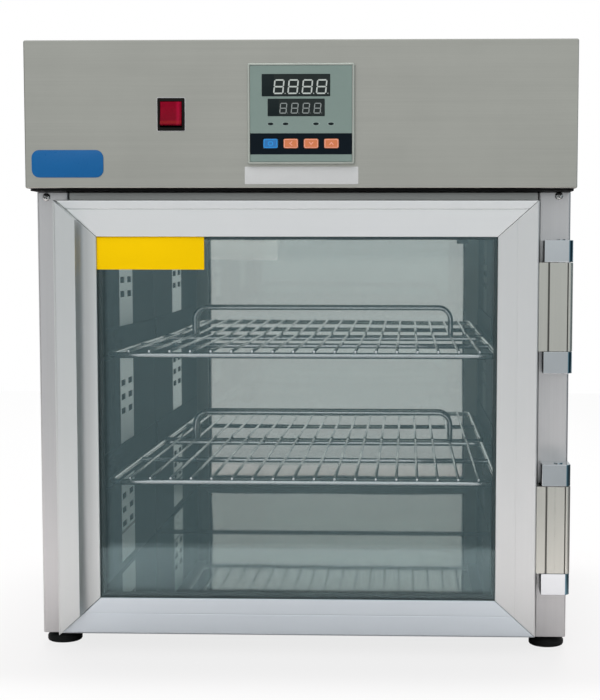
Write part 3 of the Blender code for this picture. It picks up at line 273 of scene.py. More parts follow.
plating = {"films": 60.0, "film": 0.10, "sheen": 0.06, "ripples": 300.0, "ripple": 0.02, "relief": 0.0002,
           "turnIn": (0.10, 0.24), "turnOut": (0.985, 0.94)}


def chromePlate(name, slot, tint, rough, rounded=None):
    # plated metal with a faint film; rounded is the tint of edges that turn to the right, a painted reflection
    made = Finish(name, slot, {"Metallic": 1.0})
    film = made.at.noise(plating["films"], detail=3.0)
    value = 1.0 + film.swing(plating["film"])
    colour = value.tinted(tint)
    # painted reflection: edges turned to the right take a darker tint
    if rounded:
        turned = made.facing.part("X")
        edges = turned.step(*plating["turnIn"]) * turned.step(*plating["turnOut"])
        colour = edges.mix(colour, value.tinted(rounded))
    return made.feed(colour=colour, rough=rough + film.swing(plating["sheen"]),
                     normal=made.at.noise(plating["ripples"]).bump(plating["ripple"], plating["relief"]))


pane = {"tint": (0.64, 0.94, 0.99), "rough": 0.015, "cover": 0.043, "grazing": 0.9, "power": 5.0,
        "hazes": 9.0, "haze": 0.008, "clouds": 4.0, "cloud": 0.06}


def clearPane(name):
    # thin-sheet glass: a mirror film whose cover rises towards grazing, with faint wiping haze
    made = Finish(name, "clear_glass", {"Metallic": 1.0, "Roughness": pane["rough"]})
    edge = made.at.node("LayerWeight", {"Blend": 0.5}, "Facing")
    haze = made.at.noise(pane["hazes"], detail=3.0) * pane["haze"]
    value = 1.0 + made.at.noise(pane["clouds"]).swing(pane["cloud"])
    return made.feed(alpha=pane["cover"] + edge ** pane["power"] * pane["grazing"] + haze,
                     colour=value.tinted(pane["tint"]))


vent = {"tint": (0.93, 1.0, 1.0), "metal": 0.85, "rough": 0.36, "line": floorTop + 0.0365, "lineIn": (-0.001, 0.0),
        "lineOut": (0.0035, 0.0025), "lineDark": 0.7, "streaks": (900.0, 900.0, 6.0), "streak": 0.10, "sheen": 0.2,
        "clouds": 30.0, "cloud": 0.12, "depth": 0.05, "relief": 0.0001}


def litStrip(name, level, edge):
    # vent strip: satin grey with a thin dark fold line near its foot; its level and edge are painted light and shade
    made = Finish(name, "anodised_aluminium", {"Metallic": vent["metal"], "Specular Tint": (edge, edge, edge, 1.0)})
    at, height = made.at, made.at.part("Z")
    streaks = at.stretched(vent["streaks"]).noise(1.0, detail=3.0)
    clouds = at.noise(vent["clouds"], detail=3.0)
    line = height.stepFrom(vent["line"], vent["lineIn"]) * height.stepFrom(vent["line"], vent["lineOut"])
    value = (level * (1.0 + streaks.swing(vent["streak"]) + clouds.swing(vent["cloud"]))
             * (1.0 - line * vent["lineDark"]))
    return made.feed(colour=value.tinted(vent["tint"]), rough=vent["rough"] + streaks.swing(vent["sheen"]),
                     normal=streaks.bump(vent["depth"], vent["relief"]))


# distances of the painted highlight streak from the rocker's right edge and of the painted highlight band from its
# foot
crimson = {"body": (0.235, 0.002, 0.016), "streak": (0.46, 0.006, 0.045), "band": (0.46, 0.035, 0.020),
           "streakShare": 0.55, "bandShare": 0.30, "streakIn": (-0.0058, -0.0036),
           "streakOut": (-0.0012, -0.0026), "bandIn": (0.0048, 0.0036), "bandOut": (0.0008, 0.0020),
           "least": 0.74, "rise": 0.18, "clouds": 160.0, "cloud": 0.25, "rough": 0.28, "sheen": 0.1}


def highlitRed(name):
    # translucent crimson: deeper in the middle, a painted highlight streak down one side and an orange painted
    # highlight band along its foot
    look = crimson
    low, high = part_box("rocker")
    made = Finish(name, "red_plastic", gloss(0.05))
    across = made.at.part("X")
    height = across.out("Z")
    streak = across.stepFrom(high.x, look["streakIn"]) * across.stepFrom(high.x, look["streakOut"])
    band = height.stepFrom(low.z, look["bandIn"]) * height.stepFrom(low.z, look["bandOut"])
    clouds = made.at.noise(look["clouds"], detail=3.0)
    body = (streak * look["streakShare"]).mix(look["body"], look["streak"])
    colour = (band * look["bandShare"]).mix(body, look["band"])
    value = look["least"] + height.step(low.z, high.z) * look["rise"] + clouds.swing(look["cloud"])
    return made.feed(colour=value.tinted(colour), rough=look["rough"] + clouds.swing(look["sheen"]))


# the band's low and high edges are measured from the panel's middle
overlay = {"face": (0.202, 0.264, 0.240), "band": (0.004, 0.008, 0.012), "edges": (-0.0366, -0.0176), "rough": 0.46,
           "bandRough": 0.16, "pits": 1600.0, "pit": 0.06, "clouds": 30.0, "cloud": 0.08, "sheen": 0.1, "depth": 0.05,
           "relief": 0.0001}


def panelOverlay(name):
    # the controller's printed face: grey-green with one dark band behind the keys
    low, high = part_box("controller_panel")
    middle = (low.z + high.z) / 2
    made = Finish(name, "grey_plastic", gloss(0.06))
    height = made.at.part("Z")
    band = (height > middle + overlay["edges"][0]) * (height < middle + overlay["edges"][1])
    pits = made.at.noise(overlay["pits"])
    value = 1.0 + pits.swing(overlay["pit"]) + made.at.noise(overlay["clouds"]).swing(overlay["cloud"])
    return made.feed(colour=band.mix(value.tinted(overlay["face"]), value.tinted(overlay["band"])),
                     rough=overlay["rough"] - band * overlay["bandRough"] + pits.swing(overlay["sheen"]),
                     normal=pits.bump(overlay["depth"], overlay["relief"]))


# What several finishes share, then the finishes by maker and slot: tint, roughness and what else the maker is told

dull = gloss(0.1)
wallGrain = {"along": "Z", "depth": 0.10, "cloud": 0.10}
satin = {"depth": 0.03, "cloud": 0.03, "fine": 2200.0, "grain": 0.02}
rubber = {"grain": 700.0, "depth": 0.2, "spread": 0.5, "fixed": dull}
casing = {"grain": 1100.0, "depth": 0.12}
keyCap = {"grain": 1500.0, "depth": 0.05, "spread": 0.2, "fixed": dull}
board = {"grain": 350.0, "depth": 0.6, "spread": 0.35}
screen = {"grain": 1500.0, "depth": 0.01, "spread": 0.3, "fixed": dull}
printed = {"grain": 1500.0, "depth": 0.02, "spread": 0.1, "fixed": dull}
label = {"grain": 600.0, "depth": 0.03, "spread": 0.06, "fixed": dull}
recipes = (
    (brushedMetal, "brushed_stainless", {
        # painted shade: the fascia's faces turned down are darkened to 0.12 of their colour
        "fasciaSteel": ((0.495, 0.498, 0.450), 0.34, {"along": "X", "depth": 0.18, "cloud": 0.16, "under": 0.12}),
        "bodySteel": ((0.655, 0.657, 0.657), 0.40, {"along": "Z", "depth": 0.12, "smudge": 0.08}),
        # partly painted shade: the front frame is tinted darker for the shade below the hood
        "headerSteel": ((0.40, 0.415, 0.40), 0.34, {"along": "X"}),
        "rearSteel": ((0.58, 0.585, 0.58), 0.34, {"along": "X", "depth": 0.12, "cloud": 0.08, "smudge": 0.1}),
        # painted shade: the knuckle's two dark upright lines stand for the shade in its grooves
        "hingeSteel": ((0.62, 0.625, 0.57), 0.30,
            {"along": "Z", "depth": 0.16, "cloud": 0.05,
             "grooves": ((leafLow.x + 0.0089, 0.0009), (leafHigh.x - 0.0049, 0.0006))})}),
    (brushedMetal, "bright_stainless", {
        # painted shade: the liners and runners are near-black for the dark cavity they reflect, the right liner darker
        "sideWallSteel": ((0.068, 0.115, 0.130), 0.34, {**wallGrain, "edge": 0.14}),
        "farWallSteel": ((0.042, 0.058, 0.064), 0.34, {**wallGrain, "edge": 0.05}),
        "runnerSteel": ((0.066, 0.105, 0.120), 0.36, {"along": "Y", "edge": 0.14})}),
    (brushedMetal, "anodised_aluminium", {
        # painted light: one aluminium tinted apart per member, top rail lightest, stiles and handle darker, sill
        # darker and bluer
        "railAluminium": ((0.94, 0.955, 0.95), 0.48, {"along": "X", **satin}),
        "sillAluminium": ((0.83, 0.90, 0.945), 0.48, {"along": "X", **satin}),
        "stileAluminium": ((0.805, 0.82, 0.812), 0.48, {"along": "Z", **satin}),
        # painted shade: the corner term darkens the flat beside the raised handle strip
        "handleAluminium": ((0.73, 0.757, 0.75), 0.48,
            {"along": "Z", "corner": (handleLeft + 0.0205, 0.0155, 0.36), **satin})}),
    (brightSheet, "bright_stainless", {
        # painted shade: the back wall darkens towards the floor
        "backWallSteel": ((0.73, 0.74, 0.69), 0.025,
            {"joints": ((floorTop - 0.0020, floorTop + 0.0030), (ceilingUnder - 0.0022, ceilingUnder + 0.002)),
             "bow": (ceilingUnder - 0.20, 0.033), "dim": (ceilingUnder - 0.034, 0.12),
             "sunk": (floorTop + 0.055, floorTop + 0.15, 0.29)}),
        "ceilingSteel": ((0.50, 0.53, 0.50), 0.04, {}), "floorSteel": ((0.25, 0.275, 0.255), 0.03, {})}),
    (spangled, "galvanised_steel", {"zincSheet": ((0.55, 0.57, 0.58), 0.42, {})}),
    (chromePlate, "chrome", {
        "shelfChrome": ((0.66, 0.69, 0.69), 0.14, {}),
        "tipChrome": ((0.96, 0.97, 0.97), 0.32, {}),
        # painted reflection: the hinge blocks' right-turned edges are tinted dark blue-grey
        "hingeChrome": ((0.63, 0.67, 0.69), 0.09, {"rounded": (0.11, 0.21, 0.26)}),
        "pinBrass": ((0.62, 0.60, 0.52), 0.2, {})}),
    (chromePlate, "bright_stainless", {"screwSteel": ((0.52, 0.53, 0.52), 0.22, {})}),
    (moulded, "black_rubber", {
        "blackRubber": ((0.012, 0.013, 0.013), 0.62, rubber), "gasketRubber": ((0.020, 0.022, 0.023), 0.58, rubber)}),
    (moulded, "black_plastic", {
        "blackMoulding": ((0.008, 0.007, 0.006), 0.42, {**casing, "spread": 0.3, "fixed": dull}),
        "spacerBlack": ((0.022, 0.025, 0.024), 0.55, {"depth": 0.1, "spread": 0.5, "fixed": dull}),
        "rimPlastic": ((0.36, 0.39, 0.35), 0.48, {**casing, "spread": 0.10}),
        "displayBlack": ((0.010, 0.016, 0.017), 0.14, screen), "displayGrey": ((0.018, 0.024, 0.023), 0.2, screen),
        "screwCross": ((0.03, 0.03, 0.03), 0.6, {})}),
    (moulded, "blue_plastic", {
        "keyBlue": ((0.035, 0.17, 0.42), 0.40, keyCap), "markBlue": ((0.035, 0.30, 0.70), 0.5, printed),
        "badgeBlue": ((0.004, 0.105, 0.30), 0.30,
            {**label, "depth": 0.02, "spread": 0.15, "fixed": gloss(0.25)})}),
    (moulded, "orange_plastic", {
        "keyOrange": ((0.62, 0.20, 0.085), 0.42, keyCap), "markWarm": ((0.82, 0.37, 0.27), 0.5, printed),
        "labelYellow": ((0.89, 0.565, 0.0012), 0.45, {**label, "fixed": gloss(0.03)}),
        "labelBacking": ((0.90, 0.92, 0.88), 0.6,
            {**label, "spread": 0.04, "fixed": {**dull, "Subsurface Weight": 1.0, "Subsurface Scale": 0.004,
                                                "Subsurface Radius": (1.0, 1.0, 1.0)}})}),
    (moulded, "grey_plastic", {
        "greyMoulding": ((0.42, 0.44, 0.43), 0.5, {"depth": 0.1, "spread": 0.1}),
        "segmentGrey": ((0.49, 0.53, 0.50), 0.5, printed), "segmentDim": ((0.29, 0.32, 0.31), 0.5, printed),
        "haloGrey": ((0.29, 0.36, 0.335), 0.5, printed), "labelWhite": ((0.56, 0.57, 0.565), 0.42, label)}),
    (moulded, "insulation_board", {
        "boardInsulation": ((0.66, 0.60, 0.42), 0.92, board), "facedBoard": ((0.045, 0.050, 0.050), 0.92, board)}),
    (moulded, "galvanised_steel", {
        "heaterSheath": ((0.14, 0.125, 0.115), 0.5,
            {"grain": 500.0, "depth": 0.1, "spread": 0.5, "fixed": {"Metallic": 0.8}}),
        "castAlloy": ((0.50, 0.51, 0.52), 0.45,
            {"grain": 420.0, "depth": 0.2, "spread": 0.2, "fixed": {"Metallic": 1.0}}),
        # painted shade: the deck plate is near black for the dark gap below the hood
        "darkSheet": ((0.012, 0.012, 0.012), 0.6, {"grain": 500.0, "depth": 0.1, "spread": 0.4, "fixed": dull})}),
)
finishes = {"doorGlass": clearPane("doorGlass"), "rockerRed": highlitRed("rockerRed"),
            # painted light: the two vent strips are one part, the left painted pale as lit, the right painted dark as
            # shaded
            "panelOverlay": panelOverlay("panelOverlay"), "ventStrip": litStrip("ventStrip", 0.95, 1.0),
            "farStrip": litStrip("farStrip", 0.22, 0.10)}
for maker, slot, table in recipes:
    for name, (tint, rough, how) in table.items():
        finishes[name] = maker(name, slot, tint, rough, **how)
print("finishes mixed:", len(finishes))


# Camera, floor and light

def turned(degrees, axis):
    return Matrix.Rotation(math.radians(degrees), 4, axis)


def placed(bm, name):
    mesh = bpy.data.meshes.new(name)
    bm.to_mesh(mesh)
    bm.free()
    made = bpy.data.objects.new(name, mesh)
    scene.collection.objects.link(made)
    return made


camera = {"place": (0.0984, -1.6169, 0.3685), "turn": 1.901, "tilt": 85.275, "roll": 0.075, "lens": 78.225,
          "sensor": 36.0, "shift": (-0.0809, 0.0506)}
eye = bpy.data.objects.new("eye", bpy.data.cameras.new("eye"))
scene.collection.objects.link(eye)
eye.data.lens, eye.data.sensor_width = camera["lens"], camera["sensor"]
eye.data.shift_x, eye.data.shift_y = camera["shift"]
eye.matrix_world = (Matrix.Translation(camera["place"]) @ turned(camera["turn"], "Z") @ turned(camera["tilt"], "X")
                    @ turned(camera["roll"], "Z"))
scene.camera = eye

# pairs are where a tone starts and where it is full, in metres
ground = {"low": (-2.2, -0.735), "high": (2.2, 2.6), "drop": 0.0002, "tone": (0.62, 0.575, 0.57), "rough": 0.8,
          "nearTone": 0.60, "nearY": (-0.38, -0.29), "rightTone": 0.15, "rightX": (0.40, 0.60), "insideTone": 0.5,
          "glassPasses": 5.5, "white": 0.965, "closeWhite": 0.80, "closeX": (0.45, 0.25), "closeY": (0.42, 0.26),
          "clouds": 3.0, "cloud": 0.02}


def layFloor():
    low, high = ground["low"], ground["high"]
    middle = Matrix.Translation(((low[0] + high[0]) / 2, (low[1] + high[1]) / 2, -ground["drop"]))
    bm = bmesh.new()
    ops.create_grid(bm, x_segments=1, y_segments=1, size=0.5,
                          matrix=middle @ Matrix.Diagonal((high[0] - low[0], high[1] - low[1], 1, 1)))
    floor = placed(bm, "paleFloor")
    tone = Finish("paleFloor", None, {"Roughness": ground["rough"]})
    across = tone.at.part("X")
    deep = across.out("Y")
    seen = tone.at.node("LightPath", {}, "Is Camera Ray")
    # painted shade: greyer from just before the cabinet backwards, a painted shadow of the cabinet; greyer to its
    # right;
    # and greyer where seen through the door twice, painted shade on its reflection
    inside = seen.out("Transparent Depth") > ground["glassPasses"]
    shade = ((1.0 - deep.step(*ground["nearY"]) * (1.0 - ground["nearTone"]))
             * (1.0 - inside * (1.0 - ground["insideTone"]))
             * (1.0 - across.step(*ground["rightX"]) * (1.0 - ground["rightTone"])))
    value = shade * (1.0 + tone.at.noise(ground["clouds"]).swing(ground["cloud"]))
    tone.feed(colour=value.tinted(ground["tone"]))
    # the camera sees it nearly white, less so close to the cabinet, where its own shade lies
    close = abs(across).step(*ground["closeX"]) * abs(deep).step(*ground["closeY"])
    white = tone.at.node("Emission", {"Color": (1, 1, 1, 1), "Strength": 1.0})
    share = seen * (ground["white"] - close * (ground["white"] - ground["closeWhite"]))
    paled = seen.node("MixShader", {0: share, 1: Wire(tone.tree, tone.shader.outputs[0]), 2: white})
    tone.tree.links.new(paled.socket, tone.tree.nodes["Material Output"].inputs["Surface"])
    floor.data.materials.append(tone.mat)


studioLamps = {"overheadLamp": {"place": (0.0, 0.75, 2.2), "aim": (0.0, -0.1, 0.0), "size": 1.6, "power": 130.0},
               "frontLamp": {"place": (-0.4, -2.0, 1.5), "aim": (0.0, 0.0, 0.3), "size": 1.5, "power": 20.0}}


def hangLamps():
    for name, look in studioLamps.items():
        lamp = bpy.data.objects.new(name, bpy.data.lights.new(name, "AREA"))
        lamp.data.size, lamp.data.energy = look["size"], look["power"]
        lamp.visible_glossy = False  # the sheet shows the room, not the lamps
        aim = (Vector(look["aim"]) - Vector(look["place"])).to_track_quat("-Z", "Y")
        lamp.matrix_world = Matrix.Translation(look["place"]) @ aim.to_matrix().to_4x4()
        scene.collection.objects.link(lamp)


# pairs are where a card, or the part straight ahead, starts and is full
room = {"level": 0.71, "lift": 0.18, "behind": -0.10, "fall": 0.35, "least": 0.22, "hue": (0.98, 1.0, 1.02),
        "left": {"level": 0.14, "west": (0.48, 0.75), "south": (0.15, 0.40), "up": (0.6, 0.3)},
        "right": {"level": 0.07, "east": (0.58, 0.88), "north": (0.6, 0.2), "up": (0.22, 0.06),
                  "hue": (0.55, 0.95, 1.15)},
        "ahead": {"dim": 0.22, "south": (0.88, 0.96), "up": (0.03, -0.02)}}


def buildRoom():
    # soft room: lighter overhead, dimmer behind and low down, a dark card to each side
    world = bpy.data.worlds.new("softRoom")
    scene.world = world
    world.use_nodes = True
    tree = world.node_tree
    tree.nodes.clear()
    left, right, ahead = room["left"], room["right"], room["ahead"]
    east = Wire(tree, tree.nodes.new("ShaderNodeTexCoord").outputs["Generated"]).part("X")
    north, up = east.out("Y"), east.out("Z")
    west, south = 0.0 - east, 0.0 - north
    level = (room["level"] + up.atLeast(0.0) * room["lift"] + north.atLeast(0.0) * room["behind"]
             + up.atMost(0.0) * room["fall"]).atLeast(room["least"])
    leftCard = west.step(*left["west"]) * south.step(*left["south"]) * up.step(*left["up"])
    rightCard = east.step(*right["east"]) * north.step(*right["north"]) * up.step(*right["up"])
    # where the glass looks: straight ahead and a little down
    level = level * (1.0 - south.step(*ahead["south"]) * up.step(*ahead["up"]) * ahead["dim"])
    level = level * (1.0 - leftCard) + leftCard * left["level"]
    level = level * (1.0 - rightCard) + rightCard * right["level"]
    lit = level.node("Background", {"Color": rightCard.mix(room["hue"], right["hue"]), "Strength": level})
    plain = level.node("Background", {"Color": (1, 1, 1, 1), "Strength": 1.0})
    both = level.node("MixShader", {0: level.node("LightPath", {}, "Is Camera Ray"), 1: lit, 2: plain})
    tree.links.new(both.socket, tree.nodes.new("ShaderNodeOutputWorld").inputs["Surface"])


layFloor()
hangLamps()
buildRoom()
print("camera, floor and light set")


# Making pieces: the touch is in metres, the angles in degrees

making = {"touch": 1e-6, "sharp": 38, "flat": 0.5, "cornerFacets": 5, "facets": 2}


def camelled(node):
    words = node.split("_")
    return words[0] + "".join(word.capitalize() for word in words[1:])


def asPiece(bm, name, finishNames, body="cabinet", stands=(), sharp=making["sharp"], recalc=True):
    # a finished bmesh becomes one piece: it rides on a body and may stand for CAD nodes
    if recalc:
        ops.recalc_face_normals(bm, faces=bm.faces)
    piece = placed(bm, name)
    piece.data.shade_smooth()
    piece.data.set_sharp_from_angle(angle=math.radians(sharp))
    for finishName in finishNames:
        piece.data.materials.append(finishes[finishName].mat)
    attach(piece, body)
    if stands:
        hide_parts(*stands)
    return piece


def block(bm, low, high):
    size = [b - a for a, b in zip(low, high)]
    middle = Matrix.Translation([(a + b) / 2 for a, b in zip(low, high)])
    return ops.create_cube(bm, size=1.0, matrix=middle @ Matrix.Diagonal((*size, 1.0)))["verts"]


def ease(bm, edges, width, segments):
    return ops.bevel(bm, geom=list(edges), offset=width, offset_type="OFFSET", affect="EDGES",
                           segments=segments, profile=0.5, material=-1, clamp_overlap=True)


def edgesOf(verts):
    return {edge for vert in verts for edge in vert.link_edges}


def only(kind, geom):
    return [item for item in geom if isinstance(item, kind)]


def centred(low, high):
    # the middle of a box as seen from the front
    return (low.x + high.x) / 2, (low.z + high.z) / 2


def slab(bm, centre, size, front, back):
    # an upright block by its middle and size as seen from the front
    half = (size[0] / 2, size[1] / 2)
    return block(bm, (centre[0] - half[0], front, centre[1] - half[1]),
                 (centre[0] + half[0], back, centre[1] + half[1]))


def card(bm, centre, size, y, thick, corner, edge=0.0):
    # an upright plate facing the front, with round corners and eased front edges
    verts = slab(bm, centre, size, y - thick, y)
    through = [e for e in edgesOf(verts) if abs(e.verts[0].co.y - e.verts[1].co.y) > thick / 2]
    rounded = ease(bm, through, corner, making["cornerFacets"])
    if edge:
        verts = set(verts) | set(rounded["verts"])
        front = [e for e in edgesOf([v for v in verts if v.is_valid])
                 if all(abs(v.co.y - (y - thick)) < making["touch"] for v in e.verts)
                 and any(abs(f.normal.y) < 0.5 for f in e.link_faces)]
        ease(bm, front, edge, making["facets"])


def eased(node, finishName, width):
    # a merged copy of a CAD node with its edges broken, standing for the node
    bm = bmesh.new()
    bm.from_mesh(nodes[node].data)
    ops.remove_doubles(bm, verts=bm.verts, dist=making["touch"])
    ops.dissolve_limit(bm, angle_limit=math.radians(making["flat"]), verts=bm.verts, edges=bm.edges)
    body = next(key for key, members in frame["record"]["behaviour"]["bodies"].items() if node in members)
    piece = asPiece(bm, camelled(node) + "Eased", [finishName], body, [node], recalc=False)
    broken = piece.modifiers.new("brokenEdges", "BEVEL")
    broken.width, broken.segments = width, making["facets"]
    broken.limit_method, broken.angle_limit = "ANGLE", math.radians(making["sharp"])
    piece.modifiers.new("flatFaces", "WEIGHTED_NORMAL").keep_sharp = True


# Sheet, door and hinge pieces: a finish, how far the edges are broken, in metres, and the nodes
easing = (
    ("fasciaSteel", 0.0004, "control_hood"), ("bodySteel", 0.0004, "left_side_panel", "right_side_panel"),
    ("headerSteel", 0.0004, "front_frame"), ("rearSteel", 0.0004, "rear_panel"),
    ("rearSteel", 0.0003, "head_rear_panel"), ("railAluminium", 0.0005, "door_top_rail"),
    ("sillAluminium", 0.0005, "door_bottom_rail"), ("handleAluminium", 0.0005, "door_handle_stile"),
    ("stileAluminium", 0.0005, "door_hinge_stile"),
    ("hingeChrome", 0.0005, "upper_hinge_bracket", "lower_hinge_bracket"),
    ("hingeSteel", 0.0003, "upper_hinge_knuckle", "lower_hinge_knuckle"),
    ("blackMoulding", 0.0005, "switch_housing"), ("rimPlastic", 0.0006, "controller_case"),
    ("keyBlue", 0.0003, "controller_key_1"),
    ("keyOrange", 0.0003, "controller_key_2", "controller_key_3", "controller_key_4"),
    ("runnerSteel", 0.0003, "upper_left_runner", "upper_right_runner", "lower_left_runner", "lower_right_runner"),
    ("ventStrip", 0.0002, "left_vent_strip"), ("farStrip", 0.0002, "right_vent_strip"),
    ("blackMoulding", 0.0005, "power_inlet"), ("rockerRed", 0.0005, "rocker"), ("gasketRubber", 0.0012, "door_gasket"),
)
for finishName, width, *members in easing:
    for node in members:
        eased(node, finishName, width)
print("edges broken in", len(easing), "groups")

# Nodes that stay as they are, by finish
plainNodes = {
    "boardInsulation": ("back_insulation", "base_insulation", "top_insulation"),
    "facedBoard": ("left_insulation", "right_insulation"), "backWallSteel": ("back_liner",),
    # painted shade: the side liners take the dark wall tints, the right one darker
    "sideWallSteel": ("left_liner",), "farWallSteel": ("right_liner",), "floorSteel": ("floor_pan",),
    # painted shade: the deck plate takes a near-black finish for the gap below the hood
    "ceilingSteel": ("ceiling_panel",), "zincSheet": ("base_tray",), "darkSheet": ("deck_plate",),
    "blackMoulding": ("relay", "safety_thermostat"), "greyMoulding": ("terminal_block",),
    "castAlloy": ("fan_motor", "fan_impeller"), "heaterSheath": ("heater_element", "temperature_probe"),
    "panelOverlay": ("controller_panel",), "doorGlass": ("outer_glass", "inner_glass"),
    "spacerBlack": ("glazing_spacer",), "hingeChrome": ("upper_hinge_pin", "lower_hinge_pin"),
}
for finishName, members in plainNodes.items():
    for node in members:
        nodes[node].data.materials.clear()
        nodes[node].data.materials.append(finishes[finishName].mat)
print(len(plainNodes), "finishes set on plain nodes")


# Wire shelves: lipBar, crossBar, overhang, cap, bead and beadDrop are shares of a bar's or wire's radius

shelf = {"bar": 0.003, "corner": 0.012, "wire": 0.0015, "pitch": 0.020, "count": 18, "lift": 0.004, "crossBack": 0.168,
         "lipInset": 0.038, "lipHeight": 0.036, "lipCorner": 0.014, "sides": 14, "wireSides": 10, "bendSteps": 6,
         "lipBar": 0.95, "crossBar": 0.9, "overhang": 0.9, "cap": 0.3, "bead": 1.25,
         "beadShape": (1.25, 1.1, 0.8), "beadDrop": 0.8, "weld": 1e-5, "sharp": 50}


def bentWire(bm, start, heading, radius, runs, sides, closed=False):
    # a ring pulled along straight runs and spun through bends: ("run", length) or ("bend", radius, axis, degrees)
    place = Matrix.Translation(start) @ Vector(heading).to_track_quat("Z", "Y").to_matrix().to_4x4()
    ring = ops.create_circle(bm, cap_ends=False, segments=sides, radius=radius, matrix=place)["verts"]
    first = list(edgesOf(ring))
    loop, at, way = first, Vector(start), Vector(heading).normalized()
    for run in runs:
        if run[0] == "run":
            made = ops.extrude_edge_only(bm, edges=loop)["geom"]
            ops.translate(bm, vec=way * run[1], verts=only(bmesh.types.BMVert, made))
            at = at + way * run[1]
        else:
            axis, turn = Vector(run[2]), math.radians(run[3])
            centre = at + axis.cross(way) * run[1]
            made = ops.spin(bm, geom=loop, cent=centre, axis=axis, angle=turn,
                                  steps=shelf["bendSteps"])["geom_last"]
            at = centre + Matrix.Rotation(turn, 3, axis) @ (at - centre)
            way = Matrix.Rotation(turn, 3, axis) @ way
        loop = only(bmesh.types.BMEdge, made)
    if closed:
        ops.remove_doubles(bm, verts=bm.verts, dist=shelf["weld"])
    else:
        for end in (first, loop):
            ops.edgeloop_fill(bm, edges=end)
            cap = [e for e in end if e.is_valid]
            ease(bm, cap, radius * shelf["cap"], making["facets"])


def buildShelf(node):
    s = shelf
    low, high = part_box(node)
    middle, half = (low.x + high.x) / 2, (high.x - low.x) / 2 - s["bar"]
    front, rear, level = low.y + s["bar"], high.y - s["bar"], low.z + s["bar"]
    cross, lipHalf = front + s["crossBack"], half - s["lipInset"]
    wide, deep = 2 * (half - s["corner"]), rear - front - 2 * s["corner"]
    right, back, up = (1, 0, 0), (0, 1, 0), (0, 0, 1)
    whole = bmesh.new()
    corner = ("bend", s["corner"], up, 90)
    bentWire(whole, (middle - wide / 2, front, level), right, s["bar"],
             [("run", wide), corner, ("run", deep), corner] * 2, s["sides"], closed=True)
    leg, lipBend = ("run", s["lipHeight"] - s["lipCorner"]), ("bend", s["lipCorner"], back, 90)
    bentWire(whole, (middle - lipHalf, rear, level), up, s["bar"] * s["lipBar"],
             [leg, lipBend, ("run", 2 * (lipHalf - s["lipCorner"])), lipBend, leg], s["sides"])
    bentWire(whole, (middle - half, cross, level), right, s["bar"] * s["crossBar"], [("run", 2 * half)], s["sides"])
    tip = front - s["bar"] * s["overhang"]
    for i in range(s["count"]):
        x = middle + (i - (s["count"] - 1) / 2) * s["pitch"]
        bentWire(whole, (x, tip, level + s["lift"]), back, s["wire"], [("run", rear - tip + s["bar"] / 2)],
                 s["wireSides"])
        # a small weld bead where the wire crosses each bar
        for y in (front, cross, rear):
            bead = ops.create_icosphere(whole, subdivisions=1, radius=s["wire"] * s["bead"])["verts"]
            ops.scale(whole, vec=s["beadShape"], verts=bead)
            ops.translate(whole, vec=(x, y, level + s["lift"] - s["wire"] * s["beadDrop"]), verts=bead)
    ops.recalc_face_normals(whole, faces=whole.faces)
    # the wires' front caps have the tips' finish
    for face in whole.faces:
        face.material_index = int(face.normal.y < -0.9 and len(face.verts) > 4)
    asPiece(whole, camelled(node) + "Wires", ["shelfChrome", "tipChrome"], node, [node], s["sharp"])


for node in ("upper_shelf", "lower_shelf"):
    buildShelf(node)
print("shelves welded")


# Feet: the outline is of radii and heights

foot = {"steps": 40, "sharp": 30,
        "outline": ((0.0, 0.0), (0.0150, 0.0), (0.0160, 0.0006), (0.0166, 0.0018), (0.0166, 0.0048), (0.0158, 0.0056),
                    (0.0158, 0.0062), (0.0150, 0.0072), (0.0131, 0.0085), (0.0110, 0.0085), (0.0110, 0.0107),
                    (0.0, 0.0107))}


def buildFoot(node):
    low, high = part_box(node)
    place = ((low.x + high.x) / 2, (low.y + high.y) / 2)
    bm = bmesh.new()
    points = [bm.verts.new((place[0] + r, place[1], z)) for r, z in foot["outline"]]
    for a, b in zip(points, points[1:]):
        bm.edges.new((a, b))
    ops.spin(bm, geom=bm.edges[:], cent=(*place, 0), axis=(0, 0, 1), angle=math.tau, steps=foot["steps"],
                   use_merge=True)
    ops.remove_doubles(bm, verts=bm.verts, dist=making["touch"])
    asPiece(bm, camelled(node) + "Turned", ["blackRubber"], "cabinet", [node], foot["sharp"])


for node in ("front_left_foot", "front_right_foot", "rear_left_foot", "rear_right_foot"):
    buildFoot(node)
print("feet turned")


# Controller windows, digits, lamps and key marks, placed from the panel's middle

panelLow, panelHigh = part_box("controller_panel")
panelMiddle = centred(panelLow, panelHigh)
faceUp = turned(90, "X")  # turns what lies flat, or points up, to face the front


def onPanel(x, z):
    return panelMiddle[0] + x, panelMiddle[1] + z


def rimPlate(bm, centre, size, y, thick, corner, width):
    # a flat upright ring with round corners
    before = set(bm.faces)
    place = Matrix.Translation((centre[0], y, centre[1])) @ faceUp @ Matrix.Diagonal((size[0], size[1], 1, 1))
    verts = ops.create_grid(bm, x_segments=1, y_segments=1, size=0.5, matrix=place)["verts"]
    ops.bevel(bm, geom=verts, offset=corner, offset_type="OFFSET", affect="VERTICES", segments=4, profile=0.5,
                    material=-1)
    face = next(f for f in bm.faces if f not in before)
    ring = ops.inset_region(bm, faces=[face], thickness=width, use_boundary=True, use_even_offset=True)["faces"]
    ops.delete(bm, geom=[face], context="FACES")
    outer = ops.extrude_face_region(bm, geom=ring)["geom"]
    ops.translate(bm, vec=(0, -thick, 0), verts=only(bmesh.types.BMVert, outer))


